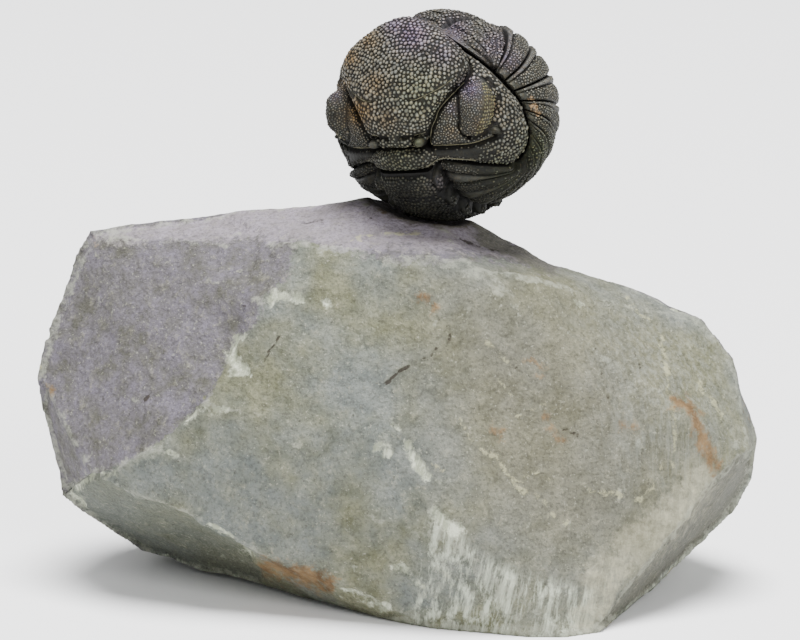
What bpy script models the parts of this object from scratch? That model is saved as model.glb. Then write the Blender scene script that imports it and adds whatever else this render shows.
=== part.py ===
"""An enrolled trilobite on the block of matrix stone it was prepared from.

Lengths are in metres and +Z is up. The animal is modelled in its own frame: X to its right,
Y to the front of its head shield and Z out of the head shield's crown, with the origin in the
middle of the roll. A place on the head shield is given on its plan, as degrees across and
degrees forward of the crown. A place on the body is given by how far round the roll it lies,
and by its share of the way out from the midline to the tips.
"""

import math

import bmesh
import bpy
from mathutils import Matrix, Vector, noise

MM = 0.001

# The roll
ROLL_HALF_WIDTH = 15.0 * MM
ROLL_RADIUS = 12.85 * MM
ROLL_CENTRE = Vector((5.6, -1.2, 60.3)) * MM
HEAD_RIGHT = Vector((0.860, -0.496, 0.118))
HEAD_FRONT = Vector((0.166, 0.491, 0.855))
GAP = 0.3 * MM
PLATE_THICKNESS = 1.9 * MM

# The head shield's outline on its plan, from the front of the midline to the cheek's rear corner
HEAD_MARGIN = [
    (0.0, 45.0), (14.0, 39.0), (25.0, 31.5), (35.0, 25.0), (45.0, 19.0), (56.0, 12.0),
    (66.6, 4.0), (75.0, -2.0), (81.0, -11.0), (86.7, -21.0), (88.3, -32.0), (83.3, -45.0),
]
HEAD_SIDE_POINT = 9
TAIL_CORNER_POINT = 5
TAIL_SIDE_SHARE = 0.93

# Where the lines between the body's plates end on the same plan, from the head to the tail shield
TIP_TRACK = [
    (77.2, -49.6), (82.9, -50.8), (88.8, -47.6), (93.6, -39.8), (95.4, -30.0), (92.6, -20.5),
    (87.3, -13.6), (82.6, -7.3), (77.6, -1.6), (71.4, 3.4), (64.6, 8.6), (57.2, 13.8),
]
FIRST_TIP_SHARE = 0.93
HEAD_REAR = -49.5
OCCIPITAL_REACH = 6.5
OCCIPITAL_HALF_WIDTH = 21.0
CHEEK_CORNER_RISE = 4.5

# The glabella's outline on the plan, from the rear of its furrow to the front of the midline
GLABELLA_OUTLINE = [
    (20.0, -42.0), (22.5, -36.0), (24.0, -30.0), (28.6, -19.0), (36.5, -7.0), (41.0, 1.0),
    (42.0, 9.0), (39.5, 16.0), (33.0, 22.5), (24.0, 29.0), (13.0, 35.5), (0.0, 40.5),
]
GLABELLA_REAR_HEIGHT = 0.9 * MM
GLABELLA_FRONT_HEIGHT = 3.0 * MM
CHEEK_DROP = 1.0 * MM
BORDER_DROP = 0.7 * MM
FURROW_DEPTH = 0.7 * MM
REAR_FURROW = [(20.0, -43.0), (33.5, -41.5), (45.0, -39.5), (54.8, -35.5), (63.0, -30.0)]
OCCIPITAL_HEIGHT = 1.0 * MM
EYE_ACROSS = 49.0
EYE_FORWARD = -15.0
EYE_INNER_WIDTH = 9.5
EYE_OUTER_WIDTH = 10.5
EYE_HALF_LENGTH = 18.0
EYE_HEIGHT = 1.9 * MM
GRANULE_HEIGHT = 0.2 * MM

# The body: rows of a segment are shares of its length with the height of its surface there
SEGMENT_COUNT = 11
ROLL_START = -57.5
TAIL_START = -251.0
AXIS_SHARE = 0.27
AXIS_HEIGHT = 0.6 * MM
AXIS_FURROW_DEPTH = 0.8 * MM
AXIS_FURROW_WIDTH = 0.09
SEGMENT_ROWS = [(0.0, -1.2), (0.22, -1.1), (0.42, -0.4), (0.84, -0.2), (1.0, -0.65)]
TAIL_DROP = 0.7 * MM
TAIL_RIBS = 5
TAIL_RIB_HEIGHT = 0.25 * MM
TAIL_RIB_SWEEP = 0.2

# Numbers of faces
HEAD_COLUMNS = 40
HEAD_ROWS = 20
BODY_COLUMNS = 22
TAIL_ROWS = 12
TAIL_INNER_STEP = 3
CORE_ROWS = 8

# The stone's broken corners in millimetres, from the front of its foot
STONE_TOP = [
    (-38.9, 4, 45.1), (-33.8, 6, 44.5), (-24.5, 8, 46.1), (-17.3, 8, 46.6), (-3.1, 3, 50.1), (2.5, 3, 49.5),
    (8.7, 3, 47.1), (18.8, 6, 39.9), (25.0, 4, 38.4), (29.9, 2, 37.9), (33.5, 2, 35.9), (37.7, 1, 34.3),
]
STONE_LEFT = [
    (-42.1, 4, 37.7), (-43.8, 3, 31.3), (-45.5, 2, 26.9), (-43.9, 2, 23.5), (-43.4, 3, 14.5), (-43.0, 4, 10.7),
]
STONE_RIGHT = [
    (41.8, 0, 30.0), (42.6, 0, 26.2), (44.8, 2, 19.9), (44.9, 3, 18.1), (44.6, 6, 12.4), (42.5, 6, 8.5),
]
STONE_FRONT = [
    (-15.0, -4.5, 46.0), (-12.2, -8, 46.0), (-16.8, -11, 39.4), (-23.7, -14, 27.0), (-30.6, -13, 20.8),
    (-38.6, -8, 16.4), (0.0, -12, 44.3), (8.5, -13, 44.3), (18.4, -6, 41.3), (-1.8, -20, 24.0),
    (6.0, -23, 12.4), (24.7, -3, 38.9), (29.3, -15, 22.5), (35.6, -11, 25.0), (30.0, -15, 6.4),
    (37.7, -11, 15.2), (43.4, -6, 19.1),
]
STONE_LOW = [
    (-25.8, -13, 12.2), (-19.7, -11.5, 8.5), (-17.2, -7, 3.8), (-12.6, -3, 1.2), (-38.2, 7, 6.3),
    (-33.4, 12, 1.2), (36.5, 0, 4.0),
]
STONE_FOOT = [
    (24.3, -20.5, 0), (20.0, -22.6, 0), (15.4, -22.4, 0), (4.2, -18.7, 0), (0.0, -16.2, 0), (-10.0, -1.0, 0),
    (-17.0, 7.0, 0), (-27.0, 14.0, 0), (-27.0, 20.0, 0), (-9.0, 24.0, 0), (13.0, 23.0, 0), (27.0, 14.0, 0),
    (30.0, -5.0, 0),
]
STONE_BACK = [
    (-36, 14, 40), (-20, 21, 42), (0, 20, 43), (16, 18, 37), (33, 13, 32), (40, 12, 22), (-41, 15, 25),
    (-30, 25, 20), (-5, 29, 24), (20, 27, 20), (38, 17, 12), (-34, 20, 6), (-10, 27, 6), (15, 26, 5), (32, 17, 4),
]
STONE_SHIFT = Vector((0.3, -3.2, 0.0))

# Shallow hollows broken out of the stone: centre, radius and depth in millimetres
STONE_HOLLOWS = [
    ((18.5, 6.0, 42.5), 12.0, 1.5),
    ((-11.0, 6.0, 48.5), 10.0, 0.8),
    ((-19.0, -4.0, 43.5), 6.5, 1.4),
    ((-21.5, -10.0, 33.0), 6.5, 1.1),
    ((-24.0, -6.0, 7.0), 9.0, 1.2),
    ((44.0, 2.0, 25.0), 5.0, 0.8),
]
STONE_EDGE = 6.0 * MM
STONE_RELIEF = 0.4 * MM
STONE_RELIEF_BIAS = -0.25
STONE_RELIEF_SCALE = 8.0 * MM
SEAT_SLACK = 0.75 * MM


def clear_scene():
    for thing in list(bpy.data.objects):
        bpy.data.objects.remove(thing, do_unlink=True)


def make_material(name, colour, roughness):
    material = bpy.data.materials.new(name)
    material.use_nodes = True
    shader = material.node_tree.nodes["Principled BSDF"]
    shader.inputs["Base Color"].default_value = (*colour, 1.0)
    shader.inputs["Roughness"].default_value = roughness
    shader.inputs["Metallic"].default_value = 0.0
    return material


def smooth_step(low, high, value):
    """0 at low, 1 at high and a smooth rise between them; low may be the larger of the two."""
    share = min(max((value - low) / (high - low), 0.0), 1.0)
    return share * share * (3.0 - 2.0 * share)


def hump(value, half_width):
    return math.exp(-((value / half_width) ** 2))


def along(points, place):
    """A point on the smooth curve through the points; place counts them from 0."""
    last = len(points) - 1
    index = min(int(place), last - 1)
    share = place - index
    start = Vector(points[index])
    end = Vector(points[index + 1])
    pull_start = (end - Vector(points[max(index - 1, 0)])) * 0.5
    pull_end = (Vector(points[min(index + 2, last)]) - start) * 0.5
    return (
        start * (2 * share**3 - 3 * share**2 + 1)
        + pull_start * (share**3 - 2 * share**2 + share)
        + end * (3 * share**2 - 2 * share**3)
        + pull_end * (share**3 - share**2)
    )


def distance_to_line(point, points):
    """Distance on the plan from a point to a chain of straight lines."""
    nearest = math.inf
    for start, end in zip(points, points[1:]):
        run = Vector(end) - Vector(start)
        share = (point - Vector(start)).dot(run) / run.length_squared
        foot = Vector(start) + run * min(max(share, 0.0), 1.0)
        nearest = min(nearest, (point - foot).length)
    return nearest


def is_inside(point, outline):
    inside = False
    for start, end in zip(outline, outline[1:] + outline[:1]):
        if (start[1] > point.y) != (end[1] > point.y):
            crossing = start[0] + (point.y - start[1]) * (end[0] - start[0]) / (end[1] - start[1])
            inside = inside != (point.x < crossing)
    return inside


def plan_direction(place):
    """The direction from the roll's middle to a place on the head shield's plan."""
    away = place.length
    if away < 1e-9:
        return Vector((0.0, 0.0, 1.0))
    tilt = math.radians(away)
    return Vector((math.sin(tilt) * place.x / away, math.sin(tilt) * place.y / away, math.cos(tilt)))


def roll_radius(direction):
    """Distance from the roll's middle to its plain outer surface."""
    across = direction.x / ROLL_HALF_WIDTH
    round_roll = math.hypot(direction.y, direction.z) / ROLL_RADIUS
    return 1.0 / math.hypot(across, round_roll)


def turn_between(start, end, share):
    """The direction at a share of the way from start to end along the great circle."""
    angle = start.angle(end)
    if angle < 1e-6:
        return start.copy()
    return (start * math.sin((1 - share) * angle) + end * math.sin(share * angle)) / math.sin(angle)


def head_rear(across):
    """The head shield's rear edge on the plan, from one rear corner at -1 to the other at 1."""
    place = HEAD_MARGIN[-1][0] * across
    ring = smooth_step(OCCIPITAL_HALF_WIDTH + 4.0, OCCIPITAL_HALF_WIDTH - 4.0, abs(place))
    return Vector((place, HEAD_REAR + CHEEK_CORNER_RISE * across**6 - OCCIPITAL_REACH * ring))


def on_margin(place, side):
    point = along(HEAD_MARGIN, place)
    return Vector((point.x * side, point.y))


def head_front(across):
    return on_margin(abs(across) * HEAD_SIDE_POINT, math.copysign(1.0, across))


def head_side(forward, side):
    last = len(HEAD_MARGIN) - 1
    return on_margin(last - forward * (last - HEAD_SIDE_POINT), side)


def head_place(across, forward):
    """A place on the plan: across runs from -1 to 1, and forward from 0 at the rear to 1."""
    share = (across + 1) / 2
    edges = head_rear(across) * (1 - forward) + head_front(across) * forward
    sides = head_side(forward, -1.0) * (1 - share) + head_side(forward, 1.0) * share
    rear_corners = head_rear(-1.0) * (1 - share) + head_rear(1.0) * share
    front_corners = head_front(-1.0) * (1 - share) + head_front(1.0) * share
    return edges + sides - rear_corners * (1 - forward) - front_corners * forward


def head_relief(place):
    """Height of the head shield over the plain roll, at a place on its plan."""
    right = Vector((abs(place.x), place.y))
    border = 1 - smooth_step(2.0, 9.0, distance_to_line(right, HEAD_MARGIN))
    relief = -CHEEK_DROP - BORDER_DROP * border
    edge = distance_to_line(right, GLABELLA_OUTLINE)
    if is_inside(right, GLABELLA_OUTLINE + [(0.0, -42.0)]):
        forward = smooth_step(-30.0, 28.0, right.y)
        height = GLABELLA_REAR_HEIGHT * (1 - forward) + GLABELLA_FRONT_HEIGHT * forward
        relief += height * smooth_step(0.0, 8.0, edge)
    relief -= FURROW_DEPTH * hump(edge, 2.2) * smooth_step(25.0, 10.0, right.y)
    relief -= FURROW_DEPTH * hump(distance_to_line(right, REAR_FURROW), 2.2)
    ring = smooth_step(OCCIPITAL_HALF_WIDTH + 3.0, OCCIPITAL_HALF_WIDTH - 4.0, right.x)
    relief += OCCIPITAL_HEIGHT * ring * smooth_step(-43.0, -46.5, right.y)
    eye_side = EYE_OUTER_WIDTH if right.x > EYE_ACROSS else EYE_INNER_WIDTH
    eye = math.hypot((right.x - EYE_ACROSS) / eye_side, (right.y - EYE_FORWARD) / EYE_HALF_LENGTH)
    return relief + EYE_HEIGHT * smooth_step(1.0, 0.3, eye)


def tip_direction(share, side):
    """The direction of the body's tips, from the head at share 0 to the tail shield at share 1."""
    point = along(TIP_TRACK, share * (len(TIP_TRACK) - 1))
    return plan_direction(Vector((point.x * side, point.y)))


def beside_margin(place, side):
    """A direction just outside the head shield's margin."""
    here = plan_direction(on_margin(place, side))
    ahead = plan_direction(on_margin(max(place - 0.1, 0.0), side))
    behind = plan_direction(on_margin(min(place + 0.1, len(HEAD_MARGIN) - 1), side))
    outward = (ahead - behind).cross(here).normalized()
    if outward.dot(here - Vector((0.0, 0.0, 1.0))) < 0:
        outward.negate()
    return (here + outward * (1.3 * GAP / ROLL_RADIUS)).normalized()


def middle_direction(share):
    """The direction of the body's midline, from the head at share 0 to the tail at share 1."""
    turn = math.radians(ROLL_START + (TAIL_START - ROLL_START) * share)
    return Vector((0.0, math.sin(turn), math.cos(turn)))


def body_line(share, out):
    """The direction of a place on the body between the head at share 0 and the tail at share 1."""
    side = math.copysign(1.0, out)
    line = turn_between(middle_direction(share), tip_direction(share, side), abs(out))
    start = turn_between(middle_direction(0.0), tip_direction(0.0, side), abs(out))
    clearance = Vector((0.0, -math.degrees(1.2 * GAP / ROLL_RADIUS)))
    rear = plan_direction(head_rear(out * FIRST_TIP_SHARE) + clearance)
    return (line + (rear - start) * smooth_step(0.3, 0.0, share)).normalized()


def axis_relief(out, half_width):
    """The raised lobe along the body's midline, with a furrow on each side of it."""
    lobe = max(1.0 - (out / half_width) ** 2, 0.0)
    furrow = hump(abs(out) - half_width - 0.5 * AXIS_FURROW_WIDTH, AXIS_FURROW_WIDTH)
    return AXIS_HEIGHT * math.sqrt(lobe) - AXIS_FURROW_DEPTH * furrow


def body_columns():
    return [2.0 * column / BODY_COLUMNS - 1.0 for column in range(BODY_COLUMNS + 1)]


def segment_rows(number):
    """Outer points of one thorax segment, as rows of (direction, height over the plain roll)."""
    start = number / SEGMENT_COUNT
    end = (number + 1) / SEGMENT_COUNT
    rows = []
    for share, height in SEGMENT_ROWS:
        row = []
        for out in body_columns():
            spacing = body_line(start, out).angle(body_line(end, out)) * ROLL_RADIUS
            slack = min(0.5 * GAP / spacing, 0.2)
            inset = slack + (1 - 2 * slack) * share
            direction = body_line(start + (end - start) * inset, out)
            row.append((direction, height * MM + axis_relief(out, AXIS_SHARE)))
        rows.append(row)
    return rows


def tail_rows():
    """Outer points of the tail shield, from its front edge to its margin."""
    front_slack = 0.5 * GAP / ROLL_RADIUS
    rows = []
    for step in range(TAIL_ROWS + 1):
        share = step / TAIL_ROWS
        row = []
        for out in body_columns():
            side = math.copysign(1.0, out)
            front = body_line(1.0, out)
            margin = beside_margin(abs(out) * TAIL_CORNER_POINT * TAIL_SIDE_SHARE, side)
            start = front_slack / front.angle(margin)
            direction = turn_between(front, margin, start + (1 - start) * share)
            half_width = AXIS_SHARE * (1.1 - 0.5 * share)
            body = smooth_step(0.95, 0.75, share)
            wave = math.cos(2 * math.pi * TAIL_RIBS * (share + TAIL_RIB_SWEEP * abs(out)))
            height = (TAIL_RIB_HEIGHT * wave + axis_relief(out, half_width)) * body - TAIL_DROP
            row.append((direction, height))
        rows.append(row)
    return rows


def point_at(direction, height):
    return direction * (roll_radius(direction) + height)


def finish_mesh(name, bm, material, parent=None):
    bmesh.ops.triangulate(bm, faces=bm.faces[:])
    bmesh.ops.recalc_face_normals(bm, faces=bm.faces[:])
    if bm.calc_volume(signed=True) < 0:
        bmesh.ops.reverse_faces(bm, faces=bm.faces[:])
    mesh = bpy.data.meshes.new(name)
    bm.to_mesh(mesh)
    bm.free()
    mesh.materials.append(material)
    piece = bpy.data.objects.new(name, mesh)
    bpy.context.scene.collection.objects.link(piece)
    piece.parent = parent
    return piece


def skin(bm, rows):
    """Join a grid of vertices with quads."""
    for row, following in zip(rows, rows[1:]):
        for column in range(len(row) - 1):
            bm.faces.new((row[column], row[column + 1], following[column + 1], following[column]))


def make_plate(name, rows, inner_step, material, parent):
    """A curved plate: the outer grid, an inner grid of fewer rows, and walls round both."""
    bm = bmesh.new()
    outer = [[bm.verts.new(point_at(*point)) for point in row] for row in rows]
    inner_rows = rows[::inner_step]
    inner = [[bm.verts.new(point_at(point[0], -PLATE_THICKNESS)) for point in row] for row in inner_rows]
    skin(bm, outer)
    skin(bm, inner)
    skin(bm, [outer[0], inner[0]])
    skin(bm, [outer[-1], inner[-1]])
    for column in (0, -1):
        for index in range(len(inner) - 1):
            rim = [row[column] for row in outer[index * inner_step:(index + 1) * inner_step + 1]]
            bm.faces.new(rim + [inner[index + 1][column], inner[index][column]])
    return finish_mesh(name, bm, material, parent)


def zip_chains(bm, first, second):
    """Fill between two chains of vertices that share their first and last vertex."""
    here = 0
    there = 0
    while here < len(first) - 1 or there < len(second) - 1:
        here_share = (here + 1) / (len(first) - 1)
        there_share = (there + 1) / (len(second) - 1)
        if here_share <= there_share and here < len(first) - 1:
            corners = [first[here], first[here + 1], second[there]]
            here += 1
        else:
            corners = [first[here], second[there + 1], second[there]]
            there += 1
        if len(set(corners)) == 3:
            bm.faces.new(corners)


def make_cephalon(material, parent):
    """The head shield with the hardened sediment that fills the roll behind it."""
    bm = bmesh.new()
    outer = []
    for row in range(HEAD_ROWS + 1):
        points = []
        for column in range(HEAD_COLUMNS + 1):
            place = head_place(2.0 * column / HEAD_COLUMNS - 1.0, row / HEAD_ROWS)
            on_rim = row in (0, HEAD_ROWS) or column in (0, HEAD_COLUMNS)
            granule = 0.0 if on_rim or (row + column) % 2 else GRANULE_HEIGHT
            points.append(bm.verts.new(point_at(plan_direction(place), head_relief(place) + granule)))
        outer.append(points)
    skin(bm, outer)
    fill_height = -PLATE_THICKNESS - 1.6 * GAP
    rim = outer[0] + [row[-1] for row in outer[1:-1]] + outer[-1][::-1] + [row[0] for row in outer[-2:0:-1]]
    foot = {vertex: bm.verts.new(point_at(vertex.co.normalized(), fill_height)) for vertex in rim}
    for vertex, following in zip(rim, rim[1:] + rim[:1]):
        bm.faces.new((vertex, following, foot[following], foot[vertex]))
    fill = [[foot[vertex] for vertex in outer[0]]]
    for row in range(1, CORE_ROWS):
        share = 2.0 * row / CORE_ROWS
        points = []
        for column in range(HEAD_COLUMNS + 1):
            across = 2.0 * column / HEAD_COLUMNS - 1.0
            side = plan_direction(Vector((math.copysign(100.0, across), -33.0)))
            far = turn_between(Vector((0.0, 0.05, -1.0)).normalized(), side, abs(across))
            if share <= 1.0:
                direction = turn_between(plan_direction(head_rear(across)), far, share)
            else:
                direction = turn_between(far, plan_direction(head_front(across)), share - 1.0)
            points.append(bm.verts.new(point_at(direction, fill_height)))
        fill.append(points)
    fill.append([foot[vertex] for vertex in outer[-1]])
    skin(bm, fill)
    for column in (0, -1):
        zip_chains(bm, [foot[row[column]] for row in outer], [row[column] for row in fill])
    return finish_mesh("cephalon", bm, material, parent)


def roughen(bm):
    """Work low relief and the hollows into the stone's faces, leaving its foot flat."""
    bm.normal_update()
    for vertex in bm.verts:
        if vertex.co.z < 0.01 * MM:
            continue
        relief = noise.fractal(vertex.co / STONE_RELIEF_SCALE, 0.6, 2.1, 4) + STONE_RELIEF_BIAS
        depth = -STONE_RELIEF * relief
        place = vertex.co / MM - STONE_SHIFT
        for centre, radius, hollow in STONE_HOLLOWS:
            away = (place - Vector(centre)).length / radius
            depth += hollow * MM * max(1 - away**2, 0.0) ** 2
        vertex.co -= vertex.normal * depth
        vertex.co.z = max(vertex.co.z, 0.2 * MM)


def split_long_edges(bm, longest):
    """Halve every edge longer than this until none is left."""
    while True:
        edges = [edge for edge in bm.edges if edge.calc_length() > longest]
        if not edges:
            return
        edges.sort(key=lambda edge: -edge.calc_length())
        longest_first = edges[:max(1, len(edges) // 3)]
        bmesh.ops.subdivide_edges(bm, edges=longest_first, cuts=1)
        bmesh.ops.triangulate(bm, faces=bm.faces[:])


def make_stone(material, roll):
    bm = bmesh.new()
    for corner in STONE_TOP + STONE_LEFT + STONE_RIGHT + STONE_FRONT + STONE_LOW + STONE_FOOT + STONE_BACK:
        bm.verts.new((Vector(corner) + STONE_SHIFT) * MM)
    bmesh.ops.convex_hull(bm, input=bm.verts[:], use_existing_faces=False)
    loose = [vertex for vertex in bm.verts if not vertex.link_faces]
    bmesh.ops.delete(bm, geom=loose, context="VERTS")
    split_long_edges(bm, STONE_EDGE)
    roughen(bm)
    stone = finish_mesh("matrix_stone", bm, material)
    cut = stone.modifiers.new("seat", "BOOLEAN")
    cut.operation = "DIFFERENCE"
    cut.object = make_seat_cutter(material, roll)
    return stone


def make_seat_cutter(material, roll):
    """The roll's outer form with a little slack, to sink its seat into the stone."""
    bm = bmesh.new()
    bmesh.ops.create_icosphere(bm, subdivisions=3, radius=1.0)
    for vertex in bm.verts:
        direction = vertex.co.normalized()
        lobe = AXIS_HEIGHT * smooth_step(0.45, 0.2, abs(direction.x))
        vertex.co = point_at(direction, SEAT_SLACK + lobe)
    cutter = finish_mesh("seat_cutter", bm, material, roll)
    cutter.hide_render = True
    cutter.display_type = "WIRE"
    return cutter


def make_roll_frame():
    """An empty in the middle of the roll, turned to the head shield's own axes."""
    right = HEAD_RIGHT.normalized()
    crown = right.cross(HEAD_FRONT).normalized()
    front = crown.cross(right)
    roll = bpy.data.objects.new("roll_frame", None)
    roll.matrix_world = Matrix.Translation(ROLL_CENTRE) @ Matrix((right, front, crown)).transposed().to_4x4()
    bpy.context.scene.collection.objects.link(roll)
    return roll


def shade(piece, sharp_angle):
    piece.data.shade_smooth()
    piece.data.set_sharp_from_angle(angle=math.radians(sharp_angle))


def main():
    clear_scene()
    shell = make_material("fossil_shell", (0.055, 0.052, 0.042), 0.45)
    rock = make_material("matrix_rock", (0.33, 0.33, 0.29), 0.85)
    roll = make_roll_frame()
    shade(make_cephalon(shell, roll), 50)
    for number in range(SEGMENT_COUNT):
        name = f"thorax_segment_{number + 1:02d}"
        shade(make_plate(name, segment_rows(number), len(SEGMENT_ROWS) - 1, shell, roll), 50)
    shade(make_plate("pygidium", tail_rows(), TAIL_INNER_STEP, shell, roll), 50)
    make_stone(rock, roll)


main()
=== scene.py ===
"""The looks of an enrolled trilobite on its block of matrix stone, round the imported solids.

Lengths are in metres and +Z is up. The animal is modelled in its own frame: X to its right,
Y to the front of its head shield and Z out of the head shield's crown, with the origin in the
middle of the roll. A place on the head shield is given on its plan, as degrees across and
degrees forward of the crown; both sides are alike, so most places are given for the right side.
A place on the body is given by how far round the roll it lies, and by its share of the way out
from the midline to the tips.
"""

import math

import bmesh
import bpy
import numpy as np
from mathutils import Matrix, Vector, noise

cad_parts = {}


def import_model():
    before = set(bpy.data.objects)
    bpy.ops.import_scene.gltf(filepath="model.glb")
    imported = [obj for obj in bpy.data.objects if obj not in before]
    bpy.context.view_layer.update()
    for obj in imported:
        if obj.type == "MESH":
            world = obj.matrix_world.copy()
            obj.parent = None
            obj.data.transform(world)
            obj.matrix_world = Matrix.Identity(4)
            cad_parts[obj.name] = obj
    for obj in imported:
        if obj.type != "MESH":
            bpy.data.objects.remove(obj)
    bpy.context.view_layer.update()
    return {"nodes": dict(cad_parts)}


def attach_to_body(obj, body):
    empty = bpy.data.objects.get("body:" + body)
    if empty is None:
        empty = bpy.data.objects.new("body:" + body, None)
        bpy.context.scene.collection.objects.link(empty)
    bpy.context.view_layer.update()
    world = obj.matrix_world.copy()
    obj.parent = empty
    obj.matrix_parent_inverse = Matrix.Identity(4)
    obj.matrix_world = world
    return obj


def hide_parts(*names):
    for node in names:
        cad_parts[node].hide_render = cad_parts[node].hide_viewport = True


MM = 0.001

# The roll
ROLL_HALF_WIDTH = 15 * MM
ROLL_RADIUS = 12.85 * MM
ROLL_CENTRE = Vector((5.6, -1.2, 60.3)) * MM
HEAD_RIGHT = Vector((0.860, -0.496, 0.118))
HEAD_FRONT = Vector((0.166, 0.491, 0.855))
GAP = 0.3 * MM
PLATE_THICKNESS = 1.9 * MM

# The head shield's outline on its plan, from the front of the midline to the cheek's rear corner
HEAD_MARGIN = [
    (0, 45), (14, 39), (25, 31.5), (35, 25), (45, 19), (56, 12),
    (66.6, 4), (75, -2), (81, -11), (86.7, -21), (88.3, -32), (83.3, -45),
]
HEAD_SIDE_POINT = 9
TAIL_CORNER_POINT = 5
TAIL_SIDE_SHARE = 0.93
HEAD_REAR = -49.5
OCCIPITAL_REACH = 6.5
OCCIPITAL_HALF_WIDTH = 23.5
OCCIPITAL_STEP = 6.5
CHEEK_CORNER_RISE = 4.5

# The places of the body's tips on the same plan, from the head shield to the tail shield
TIP_TRACK = [
    (77.2, -49.6), (82.5, -49.6), (87.2, -45.8), (90.4, -38.6), (91, -30), (89, -20.3),
    (83.8, -11.6), (80.2, -5.8), (76.4, -0.7), (70.8, 4), (64.2, 9), (57.2, 13.8),
]
FIRST_TIP_SHARE = 0.93

# The head shield's margin: how far the cheeks and the border lie below the plain roll
CHEEK_DROP = 1 * MM
BORDER_DROP = 0.7 * MM
BORDER_WIDTH = 9
RIM_HEIGHT = 0.14 * MM
RIM_INSET = 2
MARGIN_GROOVE_DEPTH = 0.2 * MM
CHEEK_SWELLING = 0.3 * MM
CHEEK_SWELLING_OVAL = ((32, -25), 6, 12)

# The glabella: its outline from the rear of its furrow to the front of the midline, and the
# height in mm of its dome over the cheeks at places forward of the crown
GLABELLA_OUTLINE = [
    (20, -42), (22.5, -36), (24, -30), (28.6, -19), (36.5, -7), (41.5, 1),
    (42.5, 9), (40.5, 16), (34.5, 22.5), (25, 29), (13.5, 35.5), (0, 40.5),
]
GLABELLA_REAR = (0, -42)
GLABELLA_RISE = [
    (-46, 0.6), (-38, 0.75), (-30, 0.95), (-20, 1.1), (0, 1.7), (15, 2.45), (28, 3.05), (42, 3.05),
]
GLABELLA_SHOULDER = 14
GLABELLA_FULLNESS = 2.4
AXIAL_FURROW_DEPTH = 1 * MM

# The other furrows of the head shield: line on the plan, depth and half width
FURROWS = {
    "side": ([(-9.4, -10.8), (3.8, -14.2), (15.7, -15.1), (28.2, -7.6), (34.6, -1)], 0.2 * MM, 1.3),
    "lobe": ([(4, -36.4), (12, -35.6), (20.5, -33.6)], 0.5 * MM, 1.3),
    "occipital": ([(0, -43.4), (11, -43.2), (22, -44.4)], 0.5 * MM, 1.4),
    "rear": ([(20, -43), (33.5, -41.5), (45, -39.5), (54.8, -35.5), (63, -30)], 0.75 * MM, 1.5),
    "palpebral": ([
        (37, -3.5), (38.4, -9), (39.4, -15.6), (40.4, -22.9), (40.2, -29.3), (42.6, -33), (47.5, -34.6),
    ], 0.45 * MM, 0.75),
    "eye": ([
        (53.5, 4), (58.5, -1.5), (60.2, -9), (60, -17), (57.6, -25), (53, -31.5), (46.5, -34),
    ], 0.4 * MM, 1.4),
}

# Knobs with a groove round them: centre, half width, half length, height and depth of the groove
FIRST_LOBE_KNOB = ((16.6, -39.6), 4.3, 3.5, 0.85 * MM, 0.75 * MM)
CHEEK_KNOB = ((61.6, -26.8), 3, 2.5, 0.45 * MM, 0.2 * MM)
KNOB_POWER = 2.2

# The occipital ring and the rear border
OCCIPITAL_HEIGHT = 1.1 * MM
OCCIPITAL_OVAL = ((0, -50.6), 26, 7.4, 2.6)
OCCIPITAL_FRONT = -43
REAR_BAND_HEIGHT = 0.22 * MM
REAR_BAND_FORWARD = -46.4
REAR_BAND_WIDTH = 3
BORDER_FRONT = -39
BORDER_SLANT = 0.02

# The eye
EYE_ACROSS = 49
EYE_FORWARD = -15
EYE_INNER_WIDTH = 9.5
EYE_OUTER_WIDTH = 9.6
EYE_HALF_LENGTH = 18
EYE_HEIGHT = 1.75 * MM
EYE_LINE_DEPTH = 0.13 * MM
LENS_START = 0.4
LENS_FILES = 6
LENS_SPACING = 0.47 * MM
LENS_RADIUS = 0.205 * MM
LENS_UNEVENNESS = 0.28

# The body
SEGMENT_COUNT = 11
ROLL_START = -57.5
TAIL_START = -251
AXIS_SHARE = 0.27
AXIS_HEIGHT = 0.6 * MM
AXIS_FURROW_DEPTH = 0.8 * MM
AXIS_FURROW_WIDTH = 0.09
KNOB_SHARE = 0.292
KNOB_HALF_WIDTH = 0.042
KNOB_HALF_LENGTH = 0.42
KNOB_HEIGHT = 0.7 * MM
KNOB_GROOVE = 0.2 * MM
TIP_DROP = 1.3 * MM
TAIL_DROP = 0.7 * MM
TAIL_RIBS = 6
TAIL_RINGS = 8
TAIL_RIB_DEPTH = 0.3 * MM
TAIL_RIB_SWEEP = 0.22
TAIL_BAND_START = 0.91
TAIL_MARGIN_DROP = 0.8 * MM
TAIL_FRONT_DROP = 0.35 * MM

# Numbers of faces, and the stone's cell size
HEAD_COLUMNS = 396
HEAD_ROWS = 180
BODY_COLUMNS = 230
SEGMENT_ROWS = 22
TAIL_ROWS = 84
INNER_ROWS = 3
CORE_ROWS = 10
SHARP_ANGLE = math.radians(60)
STONE_VOXEL = 0.44 * MM

# Granules by class: smallest distance between two, and radius
GRANULES = {
    "Coarse": (0.455 * MM, 0.285 * MM),
    "Medium": (0.385 * MM, 0.225 * MM),
    "Fine": (0.285 * MM, 0.15 * MM),
}
GRANULE_SIDES = 7
GRANULE_CANDIDATES = 6e7
GRANULE_STRETCH = ((0.82, 0.82, 0.7), (1.22, 1.22, 1.1))
GRANULE_SIZES = (0.72, 1.22)
LENS_SIDES = 10

# Granules and lenses: profiles of (radius, height, share of the way up), from foot to top
GRANULE_PROFILE = [
    (1, -0.3, 0), (0.96, 0.06, 0.15), (0.78, 0.34, 0.5), (0.42, 0.54, 0.85), (0, 0.6, 1),
]
LENS_PROFILE = [(1, -0.2, 0), (0.9, 0.18, 0.3), (0.55, 0.42, 0.75), (0, 0.52, 1)]

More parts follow.
